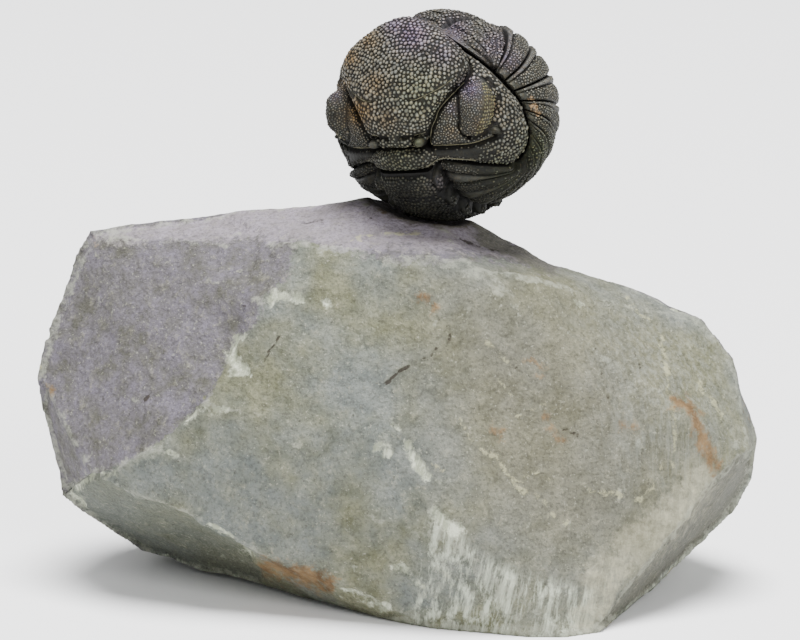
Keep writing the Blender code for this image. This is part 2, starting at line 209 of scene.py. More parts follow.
# Threads in the furrows, on the plan, and whether the left side has them too
THREAD_RADIUS = 0.062 * MM
THREAD_LIFT = 0.03 * MM
THREAD_SIDES = 6
THREADS = [
    ([
        (23, -42.3), (22.3, -38.3), (22.9, -34.9), (24, -30.4), (26.6, -25.3), (28.6, -19),
        (36.5, -7.3), (41.5, 0.4),
    ], True),
    ([(24, -42.6), (33.5, -41.5), (40.5, -40.4), (48, -38.6), (54.8, -35.3), (62, -30.6)], True),
    ([(-9.4, -43.2), (0, -43.4), (8, -43.2), (12, -43.4)], False),
    ([(13, -35.4), (17, -34.6), (20, -33.6)], True),
    ([(17, -55), (21, -53.2), (25, -50.8), (30, -48.9), (38, -48.6), (50, -48.2)], False),
    ([(12.5, -15.3), (15.7, -15.1), (22, -11.8), (28.2, -7.6), (34.6, -1)], True),
]

# The view: the photographed frame, the camera that sees it and the studio's lights
IMAGE_WIDTH = 800
IMAGE_HEIGHT = 640
CAMERA_LENS = 202.5
SENSOR_WIDTH = 36
CAMERA_TILT = math.radians(12.3)
CAMERA_DISTANCE = 0.560
CAMERA_TARGET = Vector((0.0003, -0.0032, 0.0345))
CAMERA_NEAR = 0.01
FLOOR_SIZE = 6
FLOOR_COLOUR = (0.88, 0.88, 0.885, 1)
WORLD_COLOUR = (0.9, 0.91, 0.93, 1)
WORLD_STRENGTH = 0.55
LIGHTS = [
    ("overhead", (0.1, -0.25, 2.3), 1.3, 175),
    ("front", (0.9, -2.2, 1.3), 1, 42),
]

# Finishes: how rough and how glossy
SHELL_ROUGHNESS = 0.6
GRANULE_ROUGHNESS = 0.4
THREAD_ROUGHNESS = 0.55
ROCK_ROUGHNESS = 0.8
FLOOR_ROUGHNESS = 0.9
SPECULAR_LEVEL = 0.14

# Colours of the fossil as red, green and blue: darker and lighter, or from a granule's foot to its crown, the
# foot's dark being painted shade and the crown's pallor partly its own and partly painted highlight
SHELL = ((0.014, 0.014, 0.011), (0.040, 0.039, 0.031))
# Pale shell, partly its own pale colour and partly painted sheen
SHELL_PALE_AND_SHEEN = (0.115, 0.110, 0.106)
SHELL_FLECK = (0.12, 0.115, 0.09)
# Painted shade for the furrows, the gaps and the hidden faces
SHELL_PAINTED_SHADE = (0.006, 0.0055, 0.005)
GRANULE_SHADE_TO_HIGHLIGHT_COLOURS = ((0.006, 0.006, 0.005), (0.028, 0.027, 0.022), (0.157, 0.150, 0.129))
LENS_COLOURS = ((0.008, 0.007, 0.005), (0.045, 0.042, 0.025), (0.15, 0.135, 0.075))
THREAD_COLOURS = ((0.055, 0.052, 0.036), (0.15, 0.14, 0.085))
TAN = ((0.10, 0.060, 0.028), (0.26, 0.180, 0.10))
SPECKLE = ((1.08, 1, 0.83), (0.93, 1, 1.05))

# What each tint multiplies the shell's colour by
TINT_COLOURS = {
    "rust": (1.5, 0.98, 0.46),
    "violet": (1.2, 0.94, 1.7),
    "olive": (0.92, 1.06, 0.66),
    # Painted shade: darkens the shell towards the bottom of the roll
    "low": (0.21, 0.22, 0.185),
    # Painted shade, for spots where the roll meets the stone and turns from the light
    "dim": (0.25, 0.26, 0.24),
}

# Tints of the shell in the photographed frame: centre, radius in pixels and strength
TINTS = {
    "rust": [
        ((358, 112), 14, 1), ((350, 58), 10, 0.7), ((368, 40), 12, 0.5), ((344, 84), 8, 0.5),
        ((376, 84), 12, 0.5), ((385, 120), 10, 0.4), ((492, 108), 9, 0.6), ((480, 126), 8, 0.5),
        ((452, 132), 7, 0.3), ((418, 143), 5, 0.15),
    ],
    "violet": [
        ((412, 34), 18, 1), ((396, 26), 12, 0.8), ((442, 52), 14, 0.5), ((440, 184), 10, 0.5),
        ((470, 88), 11, 0.9), ((510, 60), 12, 0.6), ((455, 30), 16, 0.7), ((495, 45), 16, 0.6),
        ((452, 108), 7, 0.5), ((335, 95), 7, 0.5),
    ],
    "tan": [((531, 99), 4, 0.9), ((534, 107), 5, 1), ((538, 114), 4, 0.8)],
    # Painted shade in spots, mostly low on the roll where it meets the stone and on its left side
    "dim": [
        ((333, 115), 15, 0.6), ((348, 160), 18, 0.9), ((340, 146), 14, 0.8), ((360, 180), 14, 0.8),
        ((446, 206), 20, 0.9), ((405, 196), 20, 0.6), ((498, 100), 7, 0.6), ((515, 110), 12, 0.3),
        ((455, 156), 12, 0.4), ((475, 156), 12, 0.4), ((405, 190), 14, 0.9), ((505, 135), 14, 0.2),
        ((340, 80), 6, 0.7), ((500, 128), 10, 0.3),
    ],
    "olive": [
        ((540, 150), 22, 0.8), ((420, 95), 26, 0.5), ((505, 175), 22, 0.7), ((400, 160), 20, 0.5),
        ((418, 143), 6, 0.9),
    ],
}
# Painted shade on the roll's underside: none above the top height, full below the bottom height
UNDERSIDE_SHADE_TOP = 3.5 * MM
UNDERSIDE_SHADE_BOTTOM = -11 * MM

# The stone's faces in the photographed frame: outline, softness in pixels
STONE_FACES = {
    "violet": ([
        (20, 180), (600, 180), (556, 272), (520, 268), (470, 258), (440, 266), (415, 262), (400, 268),
        (385, 262), (360, 254), (340, 252), (318, 247), (296, 245), (290, 258), (286, 270), (276, 290),
        (262, 300), (256, 318), (240, 334), (226, 360), (216, 380), (205, 400), (180, 425), (150, 450),
        (115, 470), (60, 500), (20, 500),
    ], 40),
    "top": ([
        (20, 180), (600, 180), (556, 272), (470, 250), (400, 250), (340, 249), (300, 242), (272, 240),
        (256, 232), (180, 236), (20, 240),
    ], 30),
    # Painted shade in a strip on the stone behind the fossil
    "back_strip": ([(462, 214), (500, 236), (560, 266), (556, 276), (520, 264), (484, 244)], 14),
    "brown": ([
        (440, 270), (560, 285), (640, 330), (700, 470), (640, 560), (560, 600), (470, 520), (430, 400),
    ], 130),
    "striated": ([
        (432, 512), (455, 532), (480, 552), (530, 572), (575, 588), (600, 580), (590, 640), (400, 640),
    ], 40),
    "combed": ([(592, 280), (740, 320), (745, 470), (690, 500), (625, 470), (604, 400)], 90),
    # Painted shade on the stone's lower left underside
    "underside": ([
        (90, 475), (190, 520), (207, 523), (240, 545), (262, 570), (250, 610), (30, 560), (30, 500),
    ], 20),
    "worn": ([
        (752, 452), (705, 488), (690, 520), (640, 570), (600, 622), (760, 640), (790, 440),
    ], 20),
}

# Steps in the stone's surface: outline in the photographed frame and depth
STONE_STEPS = [
    ([
        (20, 180), (258, 225), (252, 262), (242, 300), (236, 335), (226, 362), (205, 400), (180, 427),
        (150, 450), (115, 470), (60, 500), (20, 500),
    ], 0.65 * MM),
    ([(258, 225), (300, 240), (286, 270), (262, 300), (240, 334), (234, 352), (242, 300)], 0.4 * MM),
    ([(90, 475), (190, 520), (240, 545), (262, 570), (250, 610), (30, 560), (30, 500)], 0.6 * MM),
    ([(752, 452), (705, 488), (690, 520), (640, 570), (600, 622), (760, 640), (790, 440)], 0.8 * MM),
    ([
        (415, 500), (432, 512), (455, 532), (500, 560), (560, 582), (600, 578), (590, 660), (380, 660),
    ], 0.35 * MM),
    ([(592, 280), (604, 340), (612, 400), (625, 470), (700, 490), (780, 440), (760, 280)], 0.3 * MM),
    ([(300, 240), (345, 262), (420, 285), (452, 262), (400, 262), (340, 249)], 0.2 * MM),
    ([
        (376, 388), (411, 364), (440, 350), (446, 325), (520, 360), (500, 420), (430, 440), (390, 430),
    ], 0.22 * MM),
]

# Marks on the stone in the photographed frame: line, half width in pixels
STONE_MARKS = {
    "chip": [
        ([(271, 299), (283, 292), (290, 296), (304, 298)], 4), ([(326, 302), (331, 305)], 2.5),
        ([(243, 334), (236, 342), (233, 350)], 3.5), ([(232, 356), (238, 368)], 7),
        ([(228, 374), (246, 374)], 3), ([(188, 421), (200, 410), (222, 410)], 3.5),
        ([(184, 420), (192, 414)], 4.5), ([(166, 452), (176, 456)], 3),
        ([(72, 496), (84, 484), (98, 476), (114, 471)], 3), ([(66, 500), (80, 512)], 5),
        ([(112, 536), (126, 542), (140, 550)], 3),
        ([(208, 525), (224, 530), (236, 544), (250, 556)], 3.5),
        ([(380, 447), (392, 456)], 3.5), ([(408, 450), (418, 462), (428, 478)], 6),
        ([(392, 424), (400, 430)], 2), ([(436, 516), (446, 520), (458, 530)], 7),
        ([(340, 592), (362, 598), (386, 608)], 3.5), ([(396, 570), (420, 588)], 2.5),
        ([(404, 570), (412, 578)], 2), ([(576, 300), (582, 306)], 1.5),
    ],
    "vein": [
        ([
            (459, 415), (466, 428), (478, 448), (486, 452), (498, 456), (505, 470), (515, 478),
            (516, 486), (542, 500), (546, 512), (556, 520), (570, 526),
        ], 1.6),
        ([(488, 340), (497, 350), (510, 362)], 1.6), ([(499, 383), (512, 392), (520, 396)], 1.6),
        ([(510, 418), (528, 410), (546, 403)], 1.4), ([(516, 482), (530, 470), (548, 480)], 1.3),
        ([(630, 300), (660, 330), (672, 380), (675, 440), (676, 470)], 1.3),
        ([(700, 380), (716, 400), (724, 420)], 1.3), ([(430, 458), (446, 470)], 1.5),
        ([(350, 240), (420, 232)], 1.2), ([(590, 490), (640, 500), (664, 470)], 1.4),
    ],
    # Cracks, their dark colour painted shade
    "crack": [
        ([(374, 388), (392, 376), (412, 363)], 1.7), ([(443, 323), (447, 333), (447, 344)], 1.1),
        ([(281, 336), (272, 350), (265, 364)], 1.1), ([(516, 367), (519, 372)], 2),
        ([(426, 356), (438, 345)], 0.9), ([(302, 223), (315, 223), (322, 225)], 1.1),
        ([(364, 220), (376, 216)], 0.9), ([(368, 201), (384, 200)], 1.4),
        ([(594, 340), (600, 372), (606, 400)], 0.5), ([(636, 350), (640, 366)], 0.8),
        ([(568, 430), (578, 436)], 1.6), ([(230, 300), (246, 306)], 0.8),
        ([(140, 400), (148, 392)], 1.4), ([(460, 236), (500, 250)], 1),
    ],
    "rust": [
        ([(678, 402), (690, 404), (694, 420), (704, 444), (716, 466)], 8),
        ([(548, 416), (556, 430), (562, 442)], 3.5), ([(422, 300), (432, 306)], 5),
        ([(266, 566), (290, 574), (328, 581)], 10), ([(626, 424), (632, 430)], 4),
        ([(384, 206), (392, 200)], 5), ([(528, 360), (542, 372)], 3), ([(494, 424), (504, 432)], 4),
        ([(84, 230), (90, 240)], 4), ([(38, 380), (46, 388)], 4), ([(752, 400), (756, 420)], 5),
    ],
    "cream": [([(600, 580), (650, 540), (688, 500), (700, 480)], 20), ([(605, 600), (588, 622)], 12)],
}
MARK_FALL = 20
MARK_SEED = 4

# Marks scattered over the stone's hidden faces: size and rarity
HIDDEN_MARKS = {"chip": (4.5 * MM, 0.66), "vein": (5 * MM, 0.64), "rust": (11 * MM, 0.60)}

# The stone's relief: chips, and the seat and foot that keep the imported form
CHIP_DEPTH = 0.35 * MM
SEAT_RADIUS = 13.3 * MM
SEAT_REACH = (16.5 * MM, 18.5 * MM)
FOOT_REACH = (0.2 * MM, 0.8 * MM)
# Width of the painted contact shadow round the seat
CONTACT_SHADE_WIDTH = 1.6 * MM
EDGE_ROUNDS = 24
EDGE_HEIGHT = 0.2 * MM

# Turn and squeeze of the streaks, so that they run down the face that they lie on
STRIATION_STRETCH = ((0, -0.2, 0), (1, 1, 0.05))
COMBED_STRETCH = ((0, -0.04, 0), (1, 1, 0.06))

# Colours of the rock, darker and lighter
ROCK = {
    "olive": ((0.094, 0.096, 0.056), (0.172, 0.172, 0.112)),
    "slate": ((0.100, 0.112, 0.104), (0.164, 0.176, 0.160)),
    "brown": ((0.104, 0.098, 0.066), (0.158, 0.150, 0.111)),
    "violet": ((0.082, 0.079, 0.066), (0.136, 0.123, 0.148)),
    "top": ((0.185, 0.165, 0.172), (0.250, 0.222, 0.258)),
    "powder": ((0.27, 0.29, 0.21), (0.52, 0.54, 0.43)),
    "rust": ((0.075, 0.042, 0.019), (0.21, 0.135, 0.066)),
    "grain": (0.03, 0.03, 0.025),
    "combed": (0.24, 0.25, 0.215),
    "striated": (0.42, 0.45, 0.36),
    "cream": (0.36, 0.345, 0.245),
}

# How each face or mark of the stone ends: where it starts and is full, and how far noise breaks it up
MARK_ENDS = {
    "violet": (0.45, 0.55, 0.22), "top": (0.35, 0.65, 0.25), "underside": (0.4, 0.6, 0.2),
    "back_strip": (0.4, 0.6, 0.2), "worn": (0.4, 0.6, 0.15), "cream": (0.15, 1.15, 0.6),
    "edge": (0.8, 1.15, 0.45), "vein": (0.49, 0.60, 0.2), "chip": (0.44, 0.66, 0.24),
    "rust": (0.42, 0.85, 0.42), "contact": (0.3, 0.8, 0.3), "crack": (0.48, 0.54, 0.1),
}

# Thin coats over the rock, and painted shade on its underside, behind the fossil, round the fossil's seat and
# in the cracks: strength and colour
COATS = {
    # Painted shade on the underside
    "underside": (0.6, (0.092, 0.101, 0.082)),
    # Painted shade behind the fossil
    "back_strip": (0.8, (0.090, 0.088, 0.066)),
    "worn": (0.8, (0.105, 0.103, 0.084)),
    "edge": (0.5, (0.30, 0.31, 0.25)),
    "vein": (0.65, (0.34, 0.33, 0.20)),
    # Painted contact shadow round the fossil's seat
    "contact": (0.85, (0.035, 0.026, 0.016)),
    # Painted shade in the cracks
    "crack": (0.85, (0.026, 0.020, 0.015)),
}

# Specks, blots and pits: noise, where they start and are full, strength and colour
SPOTS = [
    ((2900, 2, 0.6), (0.63, 0.70), 0.4, (0.34, 0.34, 0.27)),
    ((600, 3, 0.6), (0.66, 0.74), 0.45, (0.30, 0.31, 0.24)),
    ((1300, 2, 0.5), (0.29, 0.25), 0.6, (0.04, 0.038, 0.03)),
]


def unit(vectors):
    return vectors / np.linalg.norm(vectors, axis=-1, keepdims=True)


def smooth_step(low, high, value):
    """0 at low, 1 at high and a smooth rise between them; low may be the larger of the two."""
    share = np.clip((value - low) / (high - low), 0, 1)
    return share * share * (3 - 2 * share)


def hump(value, half_width):
    return np.exp(-((value / half_width) ** 2))


def along(points, place):
    """Points on the smooth curve through the points; place counts them from 0."""
    points = np.asarray(points, float)
    last = len(points) - 1
    index = np.minimum(place.astype(int), last - 1)
    share = (place - index)[..., None]
    start = points[index]
    end = points[index + 1]
    pull_start = (end - points[np.maximum(index - 1, 0)]) * 0.5
    pull_end = (points[np.minimum(index + 2, last)] - start) * 0.5
    return (
        start * (2 * share**3 - 3 * share**2 + 1)
        + pull_start * (share**3 - 2 * share**2 + share)
        + end * (3 * share**2 - 2 * share**3)
        + pull_end * (share**3 - share**2)
    )


def smooth_line(points, steps=6):
    spans = len(points) - 1
    return along(points, np.linspace(0, spans, spans * steps + 1))


def line_distance(places, points):
    """Distance on the plan from each place to a chain of straight lines."""
    nearest = np.full(places.shape[:-1], np.inf)
    points = np.asarray(points, float)
    for start, end in zip(points, points[1:]):
        run = end - start
        share = np.clip((places - start) @ run / (run @ run), 0, 1)
        foot = start + share[..., None] * run
        nearest = np.minimum(nearest, np.linalg.norm(places - foot, axis=-1))
    return nearest


def is_inside(places, outline):
    inside = np.zeros(places.shape[:-1], bool)
    across = places[..., 0]
    forward = places[..., 1]
    corners = [tuple(corner) for corner in outline]
    for start, end in zip(corners, corners[1:] + corners[:1]):
        if start[1] == end[1]:
            continue
        crosses = (start[1] > forward) != (end[1] > forward)
        crossing = start[0] + (forward - start[1]) * (end[0] - start[0]) / (end[1] - start[1])
        inside ^= crosses & (across < crossing)
    return inside


def oval_distance(places, centre, half_width, half_length, power=2):
    """Distance to the middle of an oval, 1 on its outline; a higher power makes it squarer."""
    across = np.abs(places[..., 0] - centre[0]) / half_width
    forward = np.abs(places[..., 1] - centre[1]) / half_length
    return (across**power + forward**power) ** (1 / power)


def plan_direction(places):
    """The direction from the roll's middle to places on the head shield's plan."""
    places = np.asarray(places, float)
    away = np.maximum(np.linalg.norm(places, axis=-1), 1e-9)
    tilt = np.radians(away)
    across = np.sin(tilt) * places[..., 0] / away
    forward = np.sin(tilt) * places[..., 1] / away
    return np.stack([across, forward, np.cos(tilt)], axis=-1)


def point_at(directions, height):
    """Points in a direction from the roll's middle, at a height over its plain outer surface."""
    across = directions[..., 0] / ROLL_HALF_WIDTH
    round_roll = np.hypot(directions[..., 1], directions[..., 2]) / ROLL_RADIUS
    return directions * (1 / np.hypot(across, round_roll) + height)[..., None]


def angle_between(start, end):
    return np.arccos(np.clip(np.sum(start * end, axis=-1), -1, 1))


def turn_between(start, end, share):
    """The directions at a share of the way from start to end along the great circle."""
    angle = np.maximum(angle_between(start, end), 1e-6)
    first = np.sin((1 - share) * angle) / np.sin(angle)
    second = np.sin(share * angle) / np.sin(angle)
    return start * first[..., None] + end * second[..., None]


def head_rear(across):
    """The head shield's rear edge on the plan, from one rear corner at -1 to the other at 1."""
    place = HEAD_MARGIN[-1][0] * across
    ring_end = OCCIPITAL_HALF_WIDTH + OCCIPITAL_STEP
    ring = smooth_step(ring_end, OCCIPITAL_HALF_WIDTH - OCCIPITAL_STEP, np.abs(place))
    forward = HEAD_REAR + CHEEK_CORNER_RISE * across**6 - OCCIPITAL_REACH * ring
    return np.stack([place, forward], axis=-1)


def on_margin(place, side):
    point = along(HEAD_MARGIN, place)
    return np.stack([point[..., 0] * side, point[..., 1]], axis=-1)


def head_front(across):
    return on_margin(np.abs(across) * HEAD_SIDE_POINT, np.copysign(1, across))


def head_side(forward, side):
    last = len(HEAD_MARGIN) - 1
    return on_margin(last - forward * (last - HEAD_SIDE_POINT), side)


def head_place(across, forward):
    """Places on the plan: across runs from -1 to 1, and forward from 0 at the rear to 1."""
    share = ((across + 1) / 2)[..., None]
    ahead = forward[..., None]
    ends = np.ones_like(across)
    edges = head_rear(across) * (1 - ahead) + head_front(across) * ahead
    sides = head_side(forward, -1) * (1 - share) + head_side(forward, 1) * share
    rear_corners = head_rear(-ends) * (1 - share) + head_rear(ends) * share
    front_corners = head_front(-ends) * (1 - share) + head_front(ends) * share
    return edges + sides - rear_corners * (1 - ahead) - front_corners * ahead


def on_right(places):
    """The same places on the right side."""
    return np.stack([np.abs(places[..., 0]), places[..., 1]], axis=-1)


def furrow_distances(right):
    """Distance to each furrow, by name."""
    return {name: line_distance(right, smooth_line(line)) for name, (line, _, _) in FURROWS.items()}


def glabella_edge(right):
    """Distance on the plan to the glabella's outline, positive inside it."""
    outline = smooth_line(GLABELLA_OUTLINE)
    inside = is_inside(right, list(outline) + [GLABELLA_REAR])
    return line_distance(right, outline) * np.where(inside, 1, -1)


def eye_distance(right):
    side = np.where(right[..., 0] > EYE_ACROSS, EYE_OUTER_WIDTH, EYE_INNER_WIDTH)
    return oval_distance(right, (EYE_ACROSS, EYE_FORWARD), side, EYE_HALF_LENGTH)


def glabella_relief(right, edge):
    heights = np.array(GLABELLA_RISE)
    height = np.interp(right[..., 1], heights[:, 0], heights[:, 1]) * MM
    shoulder = np.clip((edge - 0.6) / GLABELLA_SHOULDER, 0, 1)
    relief = height * (1 - (1 - shoulder) ** GLABELLA_FULLNESS)
    return relief - AXIAL_FURROW_DEPTH * hump(edge + 0.3, 1.9) * smooth_step(26, 12, right[..., 1])


def knob_relief(right, centre, half_width, half_length, height, groove):
    away = oval_distance(right, centre, half_width, half_length, KNOB_POWER)
    return height * smooth_step(1, 0.2, away) - groove * hump(away - 1.15, 0.2)


def rear_relief(right):
    """The occipital ring, and the rear border's raised band."""
    across = right[..., 0]
    relief = OCCIPITAL_HEIGHT * smooth_step(1, 0.45, oval_distance(right, *OCCIPITAL_OVAL))
    band = smooth_step(22, 27, across) * smooth_step(80, 62, across)
    return relief + REAR_BAND_HEIGHT * band * hump(right[..., 1] - REAR_BAND_FORWARD, REAR_BAND_WIDTH)


def eye_relief(right):
    """The palpebral lobe, and the lens surface that falls away outside it."""
    across = right[..., 0] - EYE_ACROSS
    away = eye_distance(right)
    lobe = smooth_step(1, 0.35, away)
    wall = 1 - np.clip((away - 0.1) / 0.9, 0, 1) ** 1.25
    outside = smooth_step(-0.6, 1.8, across)
    within = smooth_step(0.95, 0.75, np.abs(right[..., 1] - EYE_FORWARD) / EYE_HALF_LENGTH)
    relief = EYE_HEIGHT * (lobe * (1 - outside) + wall * outside)
    return relief - EYE_LINE_DEPTH * hump(across - 0.6, 0.65) * within


def head_relief(places):
    """Height of the head shield over the plain roll at places on its plan."""
    right = on_right(places)
    margin = line_distance(right, smooth_line(HEAD_MARGIN))
    relief = -CHEEK_DROP - BORDER_DROP * (1 - smooth_step(RIM_INSET, BORDER_WIDTH, margin))
    relief += RIM_HEIGHT * hump(margin - RIM_INSET, 1.5) - MARGIN_GROOVE_DEPTH * hump(margin, 0.7)
    relief += glabella_relief(right, glabella_edge(right)) + rear_relief(right) + eye_relief(right)
    relief += knob_relief(right, *FIRST_LOBE_KNOB) + knob_relief(right, *CHEEK_KNOB)
    relief += CHEEK_SWELLING * hump(oval_distance(right, *CHEEK_SWELLING_OVAL), 1)
    for name, distance in furrow_distances(right).items():
        _, depth, half_width = FURROWS[name]
        relief -= depth * hump(distance, half_width)
    return relief


def head_masks(places):
    """Where granules of each class grow, where the shell is smooth and pale or has a painted sheen, and where
    painted shade darkens it.
    """
    right = on_right(places)
    across = right[..., 0]
    forward = right[..., 1]
    margin = line_distance(right, smooth_line(HEAD_MARGIN))
    edge = glabella_edge(right)
    furrow = furrow_distances(right)
    eye = eye_distance(right)
    lobe_knob = oval_distance(right, *FIRST_LOBE_KNOB[:3])

    # Regions of the head shield
    glabella = edge > 1.3
    ring = (forward < OCCIPITAL_FRONT) & (across < OCCIPITAL_HALF_WIDTH)
    border = ~ring & (forward < BORDER_FRONT - BORDER_SLANT * across) & (furrow["rear"] > 2) & (edge < 0)
    outer_border = border * smooth_step(47, 64, across)
    fine_rim = border & (forward < -47) & (across < 60)
    inner_cheek = (edge < 0) & (forward > OCCIPITAL_FRONT) & (across < 40.5) & (forward < 0)
    lens_edge = EYE_ACROSS + LENS_START
    palpebral_lobe = (eye < 1) & (across <= lens_edge) & (across > 40)
    below_eye = (forward < -30) & (across < 59) & ~glabella & ~border & ~ring
    free_cheek = ~(glabella | ring | border | inner_cheek | palpebral_lobe | below_eye)
    groove_row = (furrow["eye"] < 0.75) & (forward < 0) & (forward > -20)

    # What is clear of the furrows, the margin, the lenses and the knobs
    clear = (margin > 1.9) & ~((eye < 1.02) & (across > lens_edge)) & ((edge > 1.4) | (edge < -2.4))
    for name, width in (("palpebral", 1), ("eye", 1.2), ("rear", 1.6), ("occipital", 1.3), ("lobe", 1.3)):
        clear &= furrow[name] > width
    clear &= oval_distance(right, CHEEK_KNOB[0], 1, 1) > 3.6
    clear &= oval_distance(right, FIRST_LOBE_KNOB[0], 1, 1) > 3.4
    clear &= (furrow["side"] > 0.8) | (across < 12)

    near_furrow = (edge < 5) & (forward < 12) | (forward < -26) | (furrow["side"] < 1.2)
    low = glabella & near_furrow
    coarse = clear & ((glabella & ~low) | free_cheek)
    medium = clear * np.maximum(low | ring, outer_border)
    fine = (clear & (inner_cheek | palpebral_lobe | below_eye | fine_rim)) | groove_row
    # Painted shade: in the furrows and grooves, round the knobs, under the granules, and a darker border
    dark = hump(edge + 0.5, 3) * smooth_step(30, 14, forward) + 0.9 * hump(furrow["eye"], 2.2)
    dark += 0.6 * hump(furrow["side"], 0.8) * (across > 12) + 0.9 * hump(lobe_knob - 1.25, 0.25)
    for name, width in (("palpebral", 0.9), ("rear", 2), ("occipital", 1.7), ("lobe", 1.5)):
        dark += hump(furrow[name], width)
    dark += 0.75 * coarse + 0.62 * medium + 0.45 * fine + 0.45 * border
    # Pale margin and lobe knob, and painted highlight on the palpebral lobe
    pale = 0.5 * smooth_step(2.4, 0.8, margin) + 0.35 * palpebral_lobe + 0.6 * smooth_step(1, 0.4, lobe_knob)
    return {"coarse": coarse, "medium": medium, "fine": fine, "dark": dark, "pale": pale}


def tip_directions(share, side):
    """The directions of the body's tips, from the head at share 0 to the tail shield at share 1."""
    point = along(TIP_TRACK, share * (len(TIP_TRACK) - 1))
    return plan_direction(np.stack([point[..., 0] * side, point[..., 1]], axis=-1))


def beside_margin(place, side):
    """Directions just outside the head shield's margin."""
    here = plan_direction(on_margin(place, side))
    ahead = plan_direction(on_margin(np.maximum(place - 0.1, 0), side))
    behind = plan_direction(on_margin(np.minimum(place + 0.1, len(HEAD_MARGIN) - 1.0), side))
    outward = unit(np.cross(ahead - behind, here))
    away_from_crown = np.sum(outward * (here - np.array((0, 0, 1))), axis=-1)
    outward = outward * np.where(away_from_crown < 0, -1, 1)[..., None]
    return unit(here + outward * (1.3 * GAP / ROLL_RADIUS))


def middle_direction(share):
    """The directions of the body's midline, from the head at share 0 to the tail at share 1."""
    turn = np.radians(ROLL_START + (TAIL_START - ROLL_START) * share)
    return np.stack([np.zeros_like(turn), np.sin(turn), np.cos(turn)], axis=-1)


def body_line(share, out):
    """The directions of places on the body between the head at share 0 and the tail at share 1."""
    side = np.copysign(1, out)
    still = np.zeros_like(share)
    line = turn_between(middle_direction(share), tip_directions(share, side), np.abs(out))
    start = turn_between(middle_direction(still), tip_directions(still, side), np.abs(out))
    rear_places = head_rear(out * FIRST_TIP_SHARE)
    rear_places[..., 1] -= math.degrees(1.2 * GAP / ROLL_RADIUS)
    rear = plan_direction(rear_places)
    return unit(line + (rear - start) * smooth_step(0.3, 0, share)[..., None])


def axis_relief(out, half_width):
    """The raised lobe along the body's midline, with a furrow on each side of it."""
    lobe = np.maximum(1 - (out / half_width) ** 2, 0)
    furrow = hump(np.abs(out) - half_width - 0.85 * AXIS_FURROW_WIDTH, 0.55 * AXIS_FURROW_WIDTH)
    return AXIS_HEIGHT * np.sqrt(lobe) - AXIS_FURROW_DEPTH * furrow


def pleural_furrow(reach):
    """Where the furrow between a pleura's two bands lies along the segment."""
    return 0.46 + 0.29 * smooth_step(0.4, 0.75, reach)


def end_knob_distance(share, reach):
    """Distance to the middle of the knob at the ring's end, 1 at the knob's foot."""
    return np.hypot((reach - KNOB_SHARE) / KNOB_HALF_WIDTH, (share - 0.54) / KNOB_HALF_LENGTH)


def segment_relief(share, out):
    """Height of a thorax segment: a ring with a knob at each end, and a pleura of two bands."""
    reach = np.abs(out)
    outer = smooth_step(0.35, 0.7, reach)
    furrow = pleural_furrow(reach)

    # The ring and the pleura in mm, each from the segment's front edge at 0 to its rear edge at 1
    ring = -0.8 + 0.75 * smooth_step(0, 0.3, share) - 0.6 * smooth_step(0.85, 1, share)
    foot = 1.25 - 0.8 * outer
    pleura = (foot - 0.3) * smooth_step(0, 0.18 - 0.08 * outer, share) - foot
    pleura -= (0.7 - 0.52 * outer) * smooth_step(0.88 + 0.04 * outer, 1, share)
    pleura -= (0.4 - 0.12 * outer) * hump(share - furrow, 0.045)
    pleura += 0.24 * outer * np.sin(math.pi * np.clip(share / furrow, 0, 1))
    pleura += 0.12 * np.sin(math.pi * np.clip((share - furrow) / (1 - furrow), 0, 1))
    on_side = smooth_step(AXIS_SHARE - 0.01, AXIS_SHARE + 0.07, reach)
    relief = (ring * (1 - on_side) + pleura * on_side) * MM + axis_relief(out, AXIS_SHARE)
    knob = end_knob_distance(share, reach)
    relief += KNOB_HEIGHT * smooth_step(1, 0.2, knob) - KNOB_GROOVE * hump(knob - 1.2, 0.2)
    return relief - TIP_DROP * smooth_step(0.85, 1, reach) ** 2


def segment_masks(number, share, out):
    """As head_masks, for one segment; the tips of the first few segments are worn smooth."""
    reach = np.abs(out)
    furrow = pleural_furrow(reach)
    knob = end_knob_distance(share, reach)
    on_axis = reach < AXIS_SHARE - 0.02
    ring = on_axis & (share > 0.12) & (share < 0.94)
    pleura = (reach > AXIS_SHARE + 0.08) & (reach < 0.97)
    worn = smooth_step(4.5, 1.5, number) * smooth_step(0.5, 0.75, reach)
    band = pleura & (share > 0.06) & (share < furrow - 0.04)
    strip = pleura & (share > furrow + 0.05) & (share < 0.96)
    row = pleura & (np.abs(share - 0.9) < 0.05)
    # Painted shade: in the pleural and axial furrows, at the gaps between segments, round the knobs and under
    # the granules
    dark = hump(share - furrow, 0.06) * pleura + smooth_step(0.06, 0, share) + smooth_step(0.95, 1, share)
    dark += hump(reach - AXIS_SHARE - 0.075, 0.03) + on_axis * smooth_step(0.24, 0.1, share)
    dark += hump(knob - 1.25, 0.25) + 0.5 * (band | ring)
    # Painted sheen along each pleura's rear band, and pale knob tops, partly painted highlight
    pale = strip * hump(share - 0.5 * (furrow + 0.95), 0.15) * (0.9 - 0.6 * worn)
    pale += 0.4 * smooth_step(0.9, 0.3, knob)
    medium = ring | (knob < 0.6)
    fine = (band | row) * (1 - 0.9 * worn)
    return {"coarse": 0 * share, "medium": medium, "fine": fine, "dark": dark, "pale": pale}


def body_grid(rows):
    """Shares of the way back and of the way out over a plate, as grids of rows."""
    return np.meshgrid(np.linspace(0, 1, rows + 1), np.linspace(-1, 1, BODY_COLUMNS + 1), indexing="ij")


